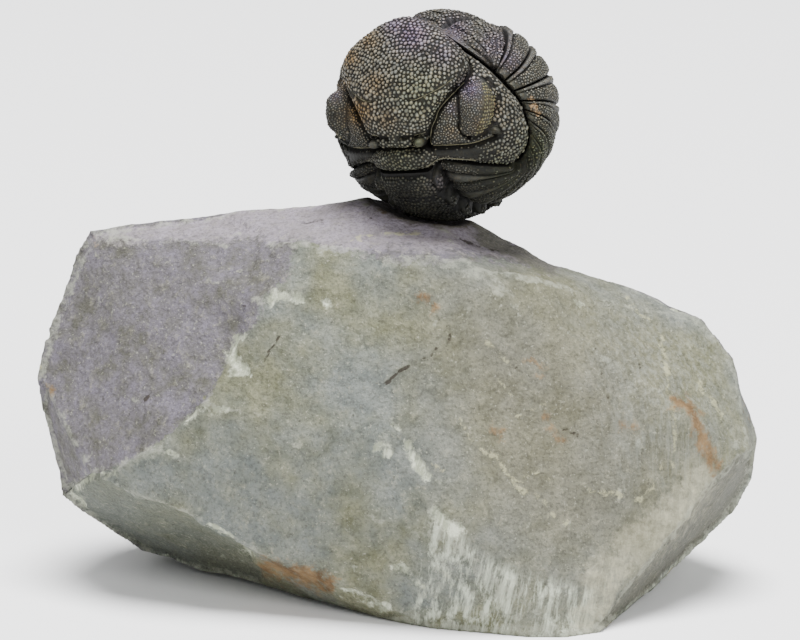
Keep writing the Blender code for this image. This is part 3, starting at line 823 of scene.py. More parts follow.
def segment_surface(number):
    """Directions, heights and masks of one thorax segment's outer face, as grids of rows."""
    share, out = body_grid(SEGMENT_ROWS)
    start = number / SEGMENT_COUNT
    end = (number + 1) / SEGMENT_COUNT
    first = body_line(np.full_like(out[0], start), out[0])
    last = body_line(np.full_like(out[0], end), out[0])
    slack = np.minimum(0.3 * GAP / (angle_between(first, last) * ROLL_RADIUS), 0.2)
    inset = slack + (1 - 2 * slack) * share
    directions = body_line(start + (end - start) * inset, out)
    return directions, segment_relief(share, out), segment_masks(number + 1, share, out)


def tail_surface():
    """Directions, heights and masks of the tail shield's outer face, as grids of rows."""
    share, out = body_grid(TAIL_ROWS)
    reach = np.abs(out)
    front = body_line(np.ones_like(out), out)
    margin = beside_margin(reach * TAIL_CORNER_POINT * TAIL_SIDE_SHARE, np.copysign(1, out))
    start = 0.5 * GAP / ROLL_RADIUS / angle_between(front, margin)
    directions = turn_between(front, margin, start + (1 - start) * share)
    half_width = AXIS_SHARE * (1.1 - 0.62 * share)
    on_side = smooth_step(0, 0.1, reach - half_width - 0.03)
    ribs = TAIL_RIBS * (share / TAIL_BAND_START + TAIL_RIB_SWEEP * reach)
    rings = TAIL_RINGS * share / TAIL_BAND_START
    rib_groove = hump(np.abs(ribs - np.round(ribs)), 0.1) * on_side
    ring_groove = hump(np.abs(rings - np.round(rings)), 0.12) * (1 - on_side)
    body = smooth_step(TAIL_BAND_START + 0.08, TAIL_BAND_START - 0.06, share)
    groove = (rib_groove + ring_groove) * body
    height = axis_relief(out, half_width) * body - TAIL_DROP - TAIL_RIB_DEPTH * groove
    height -= TAIL_MARGIN_DROP * smooth_step(0.68, 1, share) ** 1.5
    height -= TAIL_FRONT_DROP * smooth_step(0.04, 0, share)
    band = share > TAIL_BAND_START
    furrow = hump(reach - half_width - 0.045, 0.035) * body
    granulated = (groove < 0.3) & (furrow < 0.5) & (share > 0.03) & (share < 0.97)
    return directions, height, {
        "coarse": 0 * share,
        "medium": granulated & ~band,
        "fine": 0.9 * (granulated & band),
        # Painted shade in the grooves and furrows, at the front edge and under the granules
        "dark": 0.8 * groove + furrow + smooth_step(0.03, 0, share) + 0.3 * (granulated & ~band),
        "pale": 0.2 + 0.15 * smooth_step(TAIL_BAND_START - 0.03, TAIL_BAND_START + 0.05, share),
    }


def roll_matrix():
    """The frame of the roll: its columns are the animal's right, front and crown."""
    right = HEAD_RIGHT.normalized()
    crown = right.cross(HEAD_FRONT).normalized()
    front = crown.cross(right)
    return Matrix.Translation(ROLL_CENTRE) @ Matrix((right, front, crown)).transposed().to_4x4()


def link(name, data):
    """A new object in the scene."""
    piece = bpy.data.objects.new(name, data)
    bpy.context.scene.collection.objects.link(piece)
    return piece


def set_value(mesh, label, values):
    """Keep a float value on each vertex."""
    layer = mesh.attributes.get(label) or mesh.attributes.new(label, "FLOAT", "POINT")
    layer.data.foreach_set("value", np.asarray(values, np.float32))


def vector_array(items, field):
    """The vectors that a mesh keeps on its vertices, as rows of numbers."""
    flat = np.empty(len(items) * 3, np.float32)
    items.foreach_get(field, flat)
    return flat.reshape(-1, 3).astype(float)


def new_piece(name, points, faces, values):
    """A mesh object with float values on its vertices."""
    mesh = bpy.data.meshes.new(name)
    mesh.from_pydata(points, [], faces)
    mesh.update()
    for label, value in values.items():
        set_value(mesh, label, value)
    return link(name, mesh)


def grid_faces(index):
    """Quads over a grid of vertex numbers."""
    corners = np.stack([index[:-1, :-1], index[:-1, 1:], index[1:, 1:], index[1:, :-1]], axis=-1)
    return [tuple(quad) for quad in corners.reshape(-1, 4).tolist()]


def face_outwards(mesh):
    bm = bmesh.new()
    bm.from_mesh(mesh)
    bmesh.ops.recalc_face_normals(bm, faces=bm.faces[:])
    if bm.calc_volume(signed=True) < 0:
        bmesh.ops.reverse_faces(bm, faces=bm.faces[:])
    bm.to_mesh(mesh)
    bm.free()


def shell_piece(name, points, faces, masks):
    """A piece of the animal in the roll's place; its hidden vertices get the full painted shade of a recess.
    """
    values = {}
    for label, mask in masks.items():
        values[label] = np.full(len(points), 1.0 if label == "dark" else 0.0)
        values[label][:mask.size] = np.clip(mask, 0, 1).ravel()
    piece = new_piece(name, points.tolist(), faces, values)
    piece.data.transform(roll_matrix())
    face_outwards(piece.data)
    piece.data.shade_smooth()
    piece.data.set_sharp_from_angle(angle=SHARP_ANGLE)
    return piece


def make_plate(name, surface):
    """A curved plate: the outer grid, a coarser inner grid, and walls round both."""
    directions, height, masks = surface
    rows, columns = height.shape
    outer_points = point_at(directions, height).reshape(-1, 3)
    picked = np.linspace(0, rows - 1, INNER_ROWS + 1).astype(int)
    inner_points = point_at(directions[picked], np.full((len(picked), columns), -PLATE_THICKNESS))
    outer = np.arange(rows * columns).reshape(rows, columns)
    inner = (rows * columns + np.arange(len(picked) * columns)).reshape(-1, columns)
    faces = grid_faces(outer) + grid_faces(inner)
    faces += grid_faces(np.stack([outer[0], inner[0]])) + grid_faces(np.stack([outer[-1], inner[-1]]))
    for column in (0, -1):
        for index in range(len(picked) - 1):
            rim = outer[picked[index]:picked[index + 1] + 1, column].tolist()
            faces.append(tuple(rim + [int(inner[index + 1, column]), int(inner[index, column])]))
    return shell_piece(name, np.concatenate([outer_points, inner_points.reshape(-1, 3)]), faces, masks)


def zip_chains(first, second):
    """Faces between two chains of vertex numbers that share their first and last."""
    faces = []
    here = 0
    there = 0
    while here < len(first) - 1 or there < len(second) - 1:
        here_share = (here + 1) / (len(first) - 1)
        there_share = (there + 1) / (len(second) - 1)
        if here_share <= there_share and here < len(first) - 1:
            corners = (first[here], first[here + 1], second[there])
            here += 1
        else:
            corners = (first[here], second[there + 1], second[there])
            there += 1
        if len(set(corners)) == 3:
            faces.append(corners)
    return faces


def fill_rows(fill_height):
    """Inner rows of the hardened sediment that fills the roll, from the rear edge to the front."""
    across = np.linspace(-1, 1, HEAD_COLUMNS + 1)
    sides = plan_direction(np.stack([np.copysign(100, across), np.full_like(across, -33)], axis=-1))
    under = np.broadcast_to(unit(np.array((0, 0.05, -1))), sides.shape)
    far = turn_between(under, sides, np.abs(across))
    rear = plan_direction(head_rear(across))
    front = plan_direction(head_front(across))
    rows = []
    for row in range(1, CORE_ROWS):
        share = 2 * row / CORE_ROWS
        if share <= 1:
            directions = turn_between(rear, far, np.full_like(across, share))
        else:
            directions = turn_between(far, front, np.full_like(across, share - 1))
        rows.append(point_at(directions, np.full_like(across, fill_height)))
    return np.stack(rows)


def make_head():
    """The head shield with the hardened sediment that fills the roll behind it."""
    forward, across = np.meshgrid(
        np.linspace(0, 1, HEAD_ROWS + 1), np.linspace(-1, 1, HEAD_COLUMNS + 1), indexing="ij"
    )
    places = head_place(across, forward)
    outer_points = point_at(plan_direction(places), head_relief(places)).reshape(-1, 3)
    outer = np.arange(across.size).reshape(across.shape)
    rim = [*outer[0], *outer[1:-1, -1], *outer[-1][::-1], *outer[-2:0:-1, 0]]
    rim = [int(vertex) for vertex in rim]
    fill_height = -PLATE_THICKNESS - 1.6 * GAP
    foot_points = point_at(unit(outer_points[rim]), np.full(len(rim), fill_height))
    foot = {vertex: outer.size + number for number, vertex in enumerate(rim)}
    core_points = fill_rows(fill_height)
    core = outer.size + len(rim) + np.arange(core_points[..., 0].size).reshape(core_points.shape[:2])
    rear_foot, front_foot = ([[foot[vertex] for vertex in row.tolist()]] for row in (outer[0], outer[-1]))
    fill = np.concatenate([rear_foot, core, front_foot])
    faces = grid_faces(outer) + grid_faces(fill)
    for vertex, following in zip(rim, rim[1:] + rim[:1]):
        faces.append((following, vertex, foot[vertex], foot[following]))
    for column in (0, -1):
        chain = [foot[vertex] for vertex in outer[:, column].tolist()]
        faces += zip_chains(chain, fill[:, column].tolist())
    points = np.concatenate([outer_points, foot_points, core_points.reshape(-1, 3)])
    return shell_piece("head_shield", points, faces, head_masks(places))


def add_node(tree, kind, inputs=None, **settings):
    """A node with its settings; an input is a value, or the output that it is linked to."""
    node = tree.nodes.new(kind)
    for name, value in settings.items():
        setattr(node, name, value)
    for name, value in (inputs or {}).items():
        if isinstance(value, bpy.types.NodeSocket):
            tree.links.new(value, node.inputs[name])
        else:
            node.inputs[name].default_value = value
    return node


def new_tree(name, inputs):
    """A Geometry Nodes tree with named inputs and one geometry output."""
    tree = bpy.data.node_groups.new(name, "GeometryNodeTree")
    for label, kind in inputs.items():
        tree.interface.new_socket(label, in_out="INPUT", socket_type="NodeSocket" + kind)
    tree.interface.new_socket("Geometry", in_out="OUTPUT", socket_type="NodeSocketGeometry")
    return tree, tree.nodes.new("NodeGroupInput").outputs


def end_tree(tree, geometry, material):
    """Make real geometry of the tree's instances, with one material, and give it out."""
    real = add_node(tree, "GeometryNodeRealizeInstances", {"Geometry": geometry})
    done = add_node(tree, "GeometryNodeSetMaterial", {"Geometry": real.outputs[0], "Material": material})
    tree.links.new(done.outputs[0], tree.nodes.new("NodeGroupOutput").inputs[0])
    return tree


def surface_value(tree, label, kind="FLOAT"):
    named = add_node(tree, "GeometryNodeInputNamedAttribute", {"Name": label}, data_type=kind)
    return named.outputs["Attribute"]


def set_on_points(tree, points, shape, rotation, scale):
    """A copy of a shape on each point."""
    source = add_node(tree, "GeometryNodeObjectInfo", {"Object": shape})
    return add_node(tree, "GeometryNodeInstanceOnPoints", {
        "Points": points, "Instance": source.outputs["Geometry"], "Rotation": rotation, "Scale": scale,
    }).outputs[0]


def run_tree(name, mesh, tree, values):
    """A plain mesh object from a tree run on a mesh, its inputs set by their identifiers."""
    carrier = link(name + "_carrier", mesh)
    modifier = carrier.modifiers.new("nodes", "NODES")
    modifier.node_group = tree
    for item in tree.interface.items_tree:
        if item.in_out == "INPUT" and item.name in values:
            modifier[item.identifier] = values[item.name]
    depsgraph = bpy.context.evaluated_depsgraph_get()
    shown = carrier.evaluated_get(depsgraph)
    result = bpy.data.meshes.new_from_object(shown, preserve_all_data_layers=True, depsgraph=depsgraph)
    bpy.data.objects.remove(carrier, do_unlink=True)
    return link(name, result)


def add_granules(tree, given, label, seed):
    """Granules of one class, spread over the surface where its value of that name says."""
    spots = add_node(tree, "GeometryNodeDistributePointsOnFaces", {
        "Mesh": given["Surface"], "Distance Min": given[label + " Spacing"],
        "Density Max": GRANULE_CANDIDATES, "Density Factor": surface_value(tree, label.lower()), "Seed": seed,
    }, distribute_method="POISSON")
    low, high = GRANULE_STRETCH
    stretch = add_node(tree, "FunctionNodeRandomValue", {
        "Min": low, "Max": high, "Seed": seed,
    }, data_type="FLOAT_VECTOR")
    low, high = GRANULE_SIZES
    size = add_node(tree, "FunctionNodeRandomValue", {2: low, 3: high, "Seed": seed}, data_type="FLOAT")
    radius = calculate(tree, "MULTIPLY", size.outputs[1], given[label + " Radius"])
    stretched = {0: stretch.outputs[0], "Scale": radius}
    scale = add_node(tree, "ShaderNodeVectorMath", stretched, operation="SCALE")
    spin = add_node(tree, "FunctionNodeRandomValue", {2: 0, 3: math.tau, "Seed": 7}, data_type="FLOAT")
    turn = add_node(tree, "FunctionNodeAxisAngleToRotation", {"Axis": (0, 0, 1), "Angle": spin.outputs[1]})
    facing = add_node(tree, "FunctionNodeRotateRotation", {
        "Rotation": spots.outputs["Rotation"], "Rotate By": turn.outputs[0],
    }, rotation_space="LOCAL")
    return set_on_points(tree, spots.outputs["Points"], given["Shape"], facing.outputs[0], scale.outputs[0])


def make_granule_tree():
    """Granules of every class together."""
    sizes = {f"{label} {size}": "Float" for label in GRANULES for size in ("Spacing", "Radius")}
    tree, given = new_tree("granules", {
        "Surface": "Geometry", "Shape": "Object", "Finish": "Material", "Seed": "Int", **sizes,
    })
    joined = tree.nodes.new("GeometryNodeJoinGeometry")
    for number, label in enumerate(GRANULES):
        seed = calculate(tree, "ADD", given["Seed"], number)
        tree.links.new(add_granules(tree, given, label, seed), joined.inputs[0])
    return end_tree(tree, joined.outputs[0], given["Finish"])


def make_thread_tree():
    """A thin round thread along the edges of a line, thinner where the line's width says."""
    tree, given = new_tree("thread", {
        "Line": "Geometry", "Radius": "Float", "Sides": "Int", "Finish": "Material",
    })
    curve = add_node(tree, "GeometryNodeMeshToCurve", {"Mesh": given["Line"]})
    tapered = add_node(tree, "GeometryNodeSetCurveRadius", {
        "Curve": curve.outputs[0], "Radius": surface_value(tree, "width"),
    })
    ring = add_node(tree, "GeometryNodeCurvePrimitiveCircle", {
        "Resolution": given["Sides"], "Radius": given["Radius"],
    })
    tube = add_node(tree, "GeometryNodeCurveToMesh", {
        "Curve": tapered.outputs[0], "Profile Curve": ring.outputs[0], "Fill Caps": True,
    })
    return end_tree(tree, tube.outputs[0], given["Finish"])


def make_lens_tree():
    """A lens on each point, facing along the point's own direction."""
    tree, given = new_tree("lenses", {
        "Places": "Geometry", "Shape": "Object", "Radius": "Float", "Finish": "Material",
    })
    facing = surface_value(tree, "facing", "FLOAT_VECTOR")
    turn = add_node(tree, "FunctionNodeAlignRotationToVector", {"Vector": facing}, axis="Z")
    lenses = set_on_points(tree, given["Places"], given["Shape"], turn.outputs[0], given["Radius"])
    return end_tree(tree, lenses, given["Finish"])


def make_dome(name, profile, sides):
    """A low closed dome of radius 1 from a profile of (radius, height, share of the way up)."""
    points = []
    tops = []
    for radius, height, top in profile[:-1]:
        for side in range(sides):
            turn = math.tau * side / sides
            points.append((radius * math.cos(turn), radius * math.sin(turn), height))
            tops.append(top)
    points.append((0, 0, profile[-1][1]))
    tops.append(1)
    faces = [tuple(range(sides - 1, -1, -1))]
    for ring in range(len(profile) - 2):
        for side in range(sides):
            after = (side + 1) % sides
            low = ring * sides
            faces.append((low + side, low + after, low + sides + after, low + sides + side))
    last = (len(profile) - 2) * sides
    faces += [(last + side, last + (side + 1) % sides, len(points) - 1) for side in range(sides)]
    dome = new_piece(name, points, faces, {"top": tops})
    dome.data.shade_smooth()
    return dome


def camera_axes():
    """The camera's place and its right, up and forward directions."""
    forward = Vector((0, math.cos(CAMERA_TILT), -math.sin(CAMERA_TILT)))
    right = Vector((1, 0, 0))
    return CAMERA_TARGET - forward * CAMERA_DISTANCE, right, right.cross(forward), forward


def seen_at(points):
    """Where points in the frame of the part are seen in the photographed frame, in pixels."""
    place, right, up, forward = (np.array(axis) for axis in camera_axes())
    offset = points - place
    scale = IMAGE_WIDTH * CAMERA_LENS / SENSOR_WIDTH / (offset @ forward)
    across = IMAGE_WIDTH / 2 + offset @ right * scale
    down = IMAGE_HEIGHT / 2 - offset @ up * scale
    return np.stack([across, down], axis=-1)


def mark_value(pixels, lines):
    """0.5 at the outline of marks in the photographed frame, more inside them and less outside."""
    value = np.zeros(len(pixels))
    for line, half_width in lines:
        away = line_distance(pixels, line) - half_width
        value = np.maximum(value, 0.5 - away / MARK_FALL)
    return np.clip(value, 0, 1)


def inside_outline(pixels, outline):
    """Distance in pixels to an outline in the photographed frame, positive inside it."""
    distance = line_distance(pixels, [*outline, outline[0]])
    return np.where(is_inside(pixels, outline), distance, -distance)


def add_tints(mesh):
    """Values for the shell's tints, placed in the photographed frame, and for the painted shade on its
    underside.
    """
    points = vector_array(mesh.vertices, "co")
    pixels = seen_at(points)
    for label, spots in TINTS.items():
        value = np.zeros(len(pixels))
        for centre, radius, strength in spots:
            away = np.linalg.norm(pixels - np.array(centre), axis=-1)
            value = np.maximum(value, strength * hump(away, radius))
        set_value(mesh, label, value)
    # Painted shade, darker towards the bottom of the roll
    set_value(mesh, "low", smooth_step(UNDERSIDE_SHADE_TOP, UNDERSIDE_SHADE_BOTTOM, points[:, 2] - ROLL_CENTRE.z))


def mix(tree, factor, first, second, blend="MIX"):
    """A colour between two, each one an output or a red, green and blue."""
    first, second = ((*colour, 1) if isinstance(colour, tuple) else colour for colour in (first, second))
    colours = {0: factor, 6: first, 7: second}
    return add_node(tree, "ShaderNodeMix", colours, data_type="RGBA", blend_type=blend).outputs[2]


def value_of(tree, label):
    return add_node(tree, "ShaderNodeAttribute", attribute_name=label).outputs["Fac"]


def cloud(tree, scale, detail=3, roughness=0.55, stretch=None):
    """Noise on object coordinates; scale counts its cells to the metre."""
    place = tree.nodes.new("ShaderNodeTexCoord").outputs["Object"]
    if stretch:
        turned, squeezed = stretch
        place = add_node(tree, "ShaderNodeMapping", {"Vector": place, "Rotation": turned}).outputs[0]
        place = add_node(tree, "ShaderNodeMapping", {"Vector": place, "Scale": squeezed}).outputs[0]
    return add_node(tree, "ShaderNodeTexNoise", {
        "Vector": place, "Scale": scale, "Detail": detail, "Roughness": roughness,
    }).outputs[0]


def remap(tree, value, low, high, to_low=0, to_high=1):
    return add_node(tree, "ShaderNodeMapRange", {
        "Value": value, "From Min": low, "From Max": high, "To Min": to_low, "To Max": to_high,
    }).outputs[0]


def calculate(tree, operation, first, second):
    return add_node(tree, "ShaderNodeMath", {0: first, 1: second}, operation=operation).outputs[0]


def paint(tree, colour, share, strength, paint_colour):
    """The colour with another painted over it where the share is high."""
    return mix(tree, calculate(tree, "MULTIPLY", share, strength), colour, paint_colour)


def broken(tree, label, noise_value, low, high, reach):
    """A mark from a value on the surface, its outline broken up by noise."""
    shift = remap(tree, noise_value, 0.3, 0.7, -reach, reach)
    return remap(tree, calculate(tree, "ADD", value_of(tree, label), shift), low, high)


def new_material(name, roughness):
    material = bpy.data.materials.new(name)
    material.use_nodes = True
    shader = material.node_tree.nodes["Principled BSDF"]
    shader.inputs["Roughness"].default_value = roughness
    shader.inputs["Specular IOR Level"].default_value = SPECULAR_LEVEL
    return material, material.node_tree, shader


def finish(tree, shader, colour, heights):
    """Give the shader its colour, and a chain of bumps, each a height, strength and distance."""
    tree.links.new(colour, shader.inputs["Base Color"])
    normal = {}
    for height, strength, distance in heights:
        bump = {"Height": height, "Strength": strength, "Distance": distance, **normal}
        normal = {"Normal": add_node(tree, "ShaderNodeBump", bump).outputs[0]}
    tree.links.new(normal["Normal"], shader.inputs["Normal"])


def tinted(tree, colour):
    """A colour with the tints that the surface's values give."""
    speckle = remap(tree, cloud(tree, 2500, 2), 0.38, 0.62)
    colour = mix(tree, 1, colour, mix(tree, speckle, *SPECKLE), "MULTIPLY")
    # Two of these tints are painted shade: one towards the bottom of the roll, one in spots where it meets
    # the stone
    for label, tint in TINT_COLOURS.items():
        colour = mix(tree, value_of(tree, label), colour, tint, "MULTIPLY")
    tan = broken(tree, "tan", cloud(tree, 2200, 3, 0.7), 0.45, 0.8, 0.5)
    return mix(tree, tan, colour, mix(tree, speckle, *TAN))


def make_shell_material():
    material, tree, shader = new_material("fossil_shell", SHELL_ROUGHNESS)
    colour = mix(tree, remap(tree, cloud(tree, 500, 5, 0.65), 0.36, 0.64), *SHELL)
    uneven = remap(tree, cloud(tree, 1200, 4), 0.3, 0.7, 0.1, 1)
    # Pale places: partly the shell's own pale colour and partly painted sheen
    colour = paint(tree, colour, value_of(tree, "pale"), uneven, SHELL_PALE_AND_SHEEN)
    flecks = remap(tree, cloud(tree, 4200, 2), 0.56, 0.70)
    colour = paint(tree, colour, flecks, 0.45, SHELL_FLECK)
    # Painted shade in furrows, gaps, under the granules and on hidden faces
    colour = mix(tree, value_of(tree, "dark"), colour, SHELL_PAINTED_SHADE)
    finish(tree, shader, tinted(tree, colour), [
        (cloud(tree, 1500, 4), 0.6, 0.2 * MM), (cloud(tree, 4500, 2), 0.5, 0.08 * MM),
    ])
    return material


def make_granule_material(name, foot, side, crown):
    """Granules: painted shade at the foot, and pale on top, partly worn pale and partly painted highlight."""
    material, tree, shader = new_material(name, GRANULE_ROUGHNESS)
    top = value_of(tree, "top")
    colour = mix(tree, remap(tree, top, 0, 0.45), foot, side)
    colour = mix(tree, remap(tree, top, 0.5, 1), colour, crown)
    shade = remap(tree, cloud(tree, 1300, 3), 0.3, 0.7, 0.45, 1.45)
    colour = mix(tree, 1, colour, shade, "MULTIPLY")
    finish(tree, shader, tinted(tree, colour), [(cloud(tree, 5000, 2), 0.45, 0.06 * MM)])
    return material


def make_thread_material():
    material, tree, shader = new_material("pale_thread", THREAD_ROUGHNESS)
    colour = mix(tree, remap(tree, cloud(tree, 900), 0.35, 0.65), *THREAD_COLOURS)
    finish(tree, shader, colour, [(cloud(tree, 2700), 0.4, 0.05 * MM)])
    return material


def make_stone_material():
    """Mudstone of several tones, with its faces, streaks, chips, veins, stains and cracks over them, and
    painted shade on its underside, behind the fossil, round the fossil's seat and in the cracks.
    """
    material, tree, shader = new_material("matrix_rock", ROCK_ROUGHNESS)
    drift = remap(tree, cloud(tree, 70, 4, 0.6), 0.4, 0.6)
    mottle = remap(tree, cloud(tree, 330, 6, 0.68), 0.36, 0.64)
    grain = remap(tree, cloud(tree, 2300, 3, 0.75), 0.36, 0.64)
    rough = cloud(tree, 800, 5, 0.72)
    streaks = remap(tree, cloud(tree, 1000, 5, 0.75, STRIATION_STRETCH), 0.46, 0.62)
    share = {label: broken(tree, label, rough, *ends) for label, ends in MARK_ENDS.items()}

    # The rock's tones, face by face
    colour = mix(tree, drift, mix(tree, mottle, *ROCK["olive"]), mix(tree, mottle, *ROCK["slate"]))
    colour = paint(tree, colour, value_of(tree, "brown"), 0.8, mix(tree, mottle, *ROCK["brown"]))
    for label in ("violet", "top"):
        colour = mix(tree, share[label], colour, mix(tree, mottle, *ROCK[label]))
    # Painted shade on the underside and behind the fossil, and the worn corner's coat
    for label in ("underside", "back_strip", "worn"):
        colour = paint(tree, colour, share[label], *COATS[label])

    # Grain, specks, blots and pits
    colour = mix(tree, remap(tree, grain, 0, 1, 0.45, -0.3), colour, ROCK["grain"])
    for spots, ends, strength, spot_colour in SPOTS:
        colour = paint(tree, colour, remap(tree, cloud(tree, *spots), *ends), strength, spot_colour)

    # Combed and striated faces, and the cream powder ground into the lower right corner
    comb = remap(tree, cloud(tree, 1500, 4, 0.7, COMBED_STRETCH), 0.45, 0.62)
    combed = calculate(tree, "MULTIPLY", comb, value_of(tree, "combed"))
    colour = paint(tree, colour, combed, 0.4, ROCK["combed"])
    striated = calculate(tree, "MULTIPLY", streaks, remap(tree, value_of(tree, "striated"), 0.35, 0.7))
    colour = paint(tree, colour, striated, 0.9, ROCK["striated"])
    cream = calculate(tree, "MULTIPLY", share["cream"], remap(tree, streaks, 0, 1, 0.55, 1))
    colour = paint(tree, colour, cream, 0.8, ROCK["cream"])

    # Worn edges, veins, chips and rust, then painted shade: a contact shadow round the roll's foot and shade
    # in the cracks
    for label in ("edge", "vein"):
        colour = paint(tree, colour, share[label], *COATS[label])
    colour = paint(tree, colour, share["chip"], 0.95, mix(tree, streaks, *ROCK["powder"]))
    colour = paint(tree, colour, share["rust"], 0.95, mix(tree, mottle, *ROCK["rust"]))
    for label in ("contact", "crack"):
        colour = paint(tree, colour, share[label], *COATS[label])
    hollow = calculate(tree, "ADD", share["chip"], calculate(tree, "MULTIPLY", share["crack"], 2))
    finish(tree, shader, colour, [
        (rough, 0.8, 0.5 * MM), (cloud(tree, 200, 4, 0.6), 0.6, 1 * MM), (grain, 0.5, 0.07 * MM),
        (calculate(tree, "MULTIPLY", hollow, -1), 0.8, 0.2 * MM), (striated, 0.5, 0.15 * MM),
    ])
    return material


def lens_places():
    """Places of the lenses on the plan: files that run front to back, each offset from the last."""
    step = math.degrees(LENS_SPACING / ROLL_RADIUS)
    places = []
    for file in range(LENS_FILES):
        across = EYE_ACROSS + 1.7 + file * step * 0.72
        half = EYE_HALF_LENGTH * (0.93 - 0.09 * file)
        for number in range(int(2 * half / step) + 1):
            forward = EYE_FORWARD - half + (number + 0.5 * (file % 2)) * step
            bulge = 1.5 * (1 - ((forward - EYE_FORWARD) / EYE_HALF_LENGTH) ** 2) - 1
            places.append((across + bulge, forward))
    uneven = np.random.default_rng(5).uniform(-LENS_UNEVENNESS, LENS_UNEVENNESS, (len(places), 2))
    return np.array(places) + uneven


def on_shell(places, lift=0):
    return point_at(plan_direction(places), head_relief(places) + lift)


def surface_facing(places):
    """Outward directions of the head shield's surface at places on its plan."""
    step = 0.3
    ahead = on_shell(places + (0, step)) - on_shell(places - (0, step))
    aside = on_shell(places + (step, 0)) - on_shell(places - (step, 0))
    return unit(np.cross(aside, ahead))


def in_roll(points, shift=1):
    """Points of the animal's frame in the frame of the part; directions have no shift."""
    matrix = np.array(roll_matrix())
    return points @ matrix[:3, :3].T + matrix[:3, 3] * shift


def make_lenses(dome, material):
    right = lens_places()
    places = np.concatenate([right, right * (-1, 1)])
    mesh = bpy.data.meshes.new("lens_places")
    mesh.from_pydata(in_roll(on_shell(places, -0.02 * MM)).tolist(), [], [])
    layer = mesh.attributes.new("facing", "FLOAT_VECTOR", "POINT")
    layer.data.foreach_set("vector", in_roll(surface_facing(places), 0).astype(np.float32).ravel())
    return run_tree("eye_lenses", mesh, make_lens_tree(), {
        "Shape": dome, "Radius": LENS_RADIUS, "Finish": material,
    })


def make_threads(material):
    """The thin raised threads that run in the furrows of the head shield."""
    points = []
    edges = []
    widths = []
    for line, both_sides in THREADS:
        for side in (1, -1)[:1 + both_sides]:
            places = smooth_line(line, 10) * (side, 1)
            first = len(points)
            points += in_roll(on_shell(places, THREAD_LIFT)).tolist()
            edges += [(number, number + 1) for number in range(first, len(points) - 1)]
            run = np.linspace(0, 1, len(places))
            widths += (smooth_step(0, 0.2, run) * smooth_step(1, 0.8, run) * 0.8 + 0.2).tolist()
    mesh = bpy.data.meshes.new("thread_lines")
    mesh.from_pydata(points, edges, [])
    set_value(mesh, "width", widths)
    return run_tree("furrow_threads", mesh, make_thread_tree(), {
        "Radius": THREAD_RADIUS, "Sides": THREAD_SIDES, "Finish": material,
    })


def stone_relief(points):
    """Depth to take off the stone's smooth form: fine relief, ledges and broad hollows."""
    depth = np.empty(len(points))
    for number, point in enumerate(points):
        place = Vector(point) / MM
        fine = noise.fractal(place / 2.6, 0.8, 2.1, 4)
        broad = noise.noise(place / 11)
        flake = noise.noise(place / 6 + Vector((7, 0, 3))) * 5
        ledge = math.floor(flake) / 5 + min(flake % 1 * 5, 1) / 5
        depth[number] = 0.13 * fine + 0.25 * broad - 0.45 * ledge * max(broad + 0.3, 0)
    return depth * MM


def ragged(points, pixels):
    """The pixels moved a little to and fro, so that marks get ragged outlines."""
    noise.seed_set(MARK_SEED)
    shift = []
    for point in points:
        place = Vector(point)
        shift.append(noise.noise_vector(place / (1.4 * MM)) * 3.5 + noise.noise_vector(place / (5 * MM)) * 5)
    return pixels + np.array(shift)[:, :2]


def patches(points, size, rarity):
    """Marks scattered over a surface: 0.5 at their outline, as for the marks of the visible faces."""
    shift = Vector((3, 11, 7)) * rarity * 10
    places = [Vector(point) / size for point in points]
    height = [noise.noise(place + shift) + 0.45 * noise.noise(place * 3.7 + shift) for place in places]
    return np.clip(0.5 + 2.5 * (np.array(height) - rarity), 0, 1)


def sharp_edges(mesh, points, normals):
    """How far each vertex stands out from its smoothed surroundings, about 1 on a sharp edge."""
    ends = np.empty(len(mesh.edges) * 2, np.int32)
    mesh.edges.foreach_get("vertices", ends)
    starts, ends = ends.reshape(-1, 2).T
    count = np.bincount(starts, minlength=len(points)) + np.bincount(ends, minlength=len(points))
    smooth = points
    for _ in range(EDGE_ROUNDS):
        total = np.empty_like(smooth)
        for axis in range(3):
            total[:, axis] = np.bincount(starts, smooth[ends, axis], len(points))
            total[:, axis] += np.bincount(ends, smooth[starts, axis], len(points))
        smooth = total / count[:, None]
    return np.clip(np.sum((points - smooth) * normals, axis=-1) / EDGE_HEIGHT, 0, 1)


def fine_form(source):
    """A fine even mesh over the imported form."""
    bm = bmesh.new()
    bm.from_mesh(source.data)
    bmesh.ops.remove_doubles(bm, verts=bm.verts[:], dist=0.001 * MM)
    mesh = bpy.data.meshes.new("stone_form")
    bm.to_mesh(mesh)
    bm.free()
    carrier = link("stone_carrier", mesh)
    remesh = carrier.modifiers.new("fine", "REMESH")
    remesh.mode = "VOXEL"
    remesh.voxel_size = STONE_VOXEL
    depsgraph = bpy.context.evaluated_depsgraph_get()
    fine = bpy.data.meshes.new_from_object(carrier.evaluated_get(depsgraph))
    bpy.data.objects.remove(carrier, do_unlink=True)
    fine.name = "matrix_stone_block"
    return fine


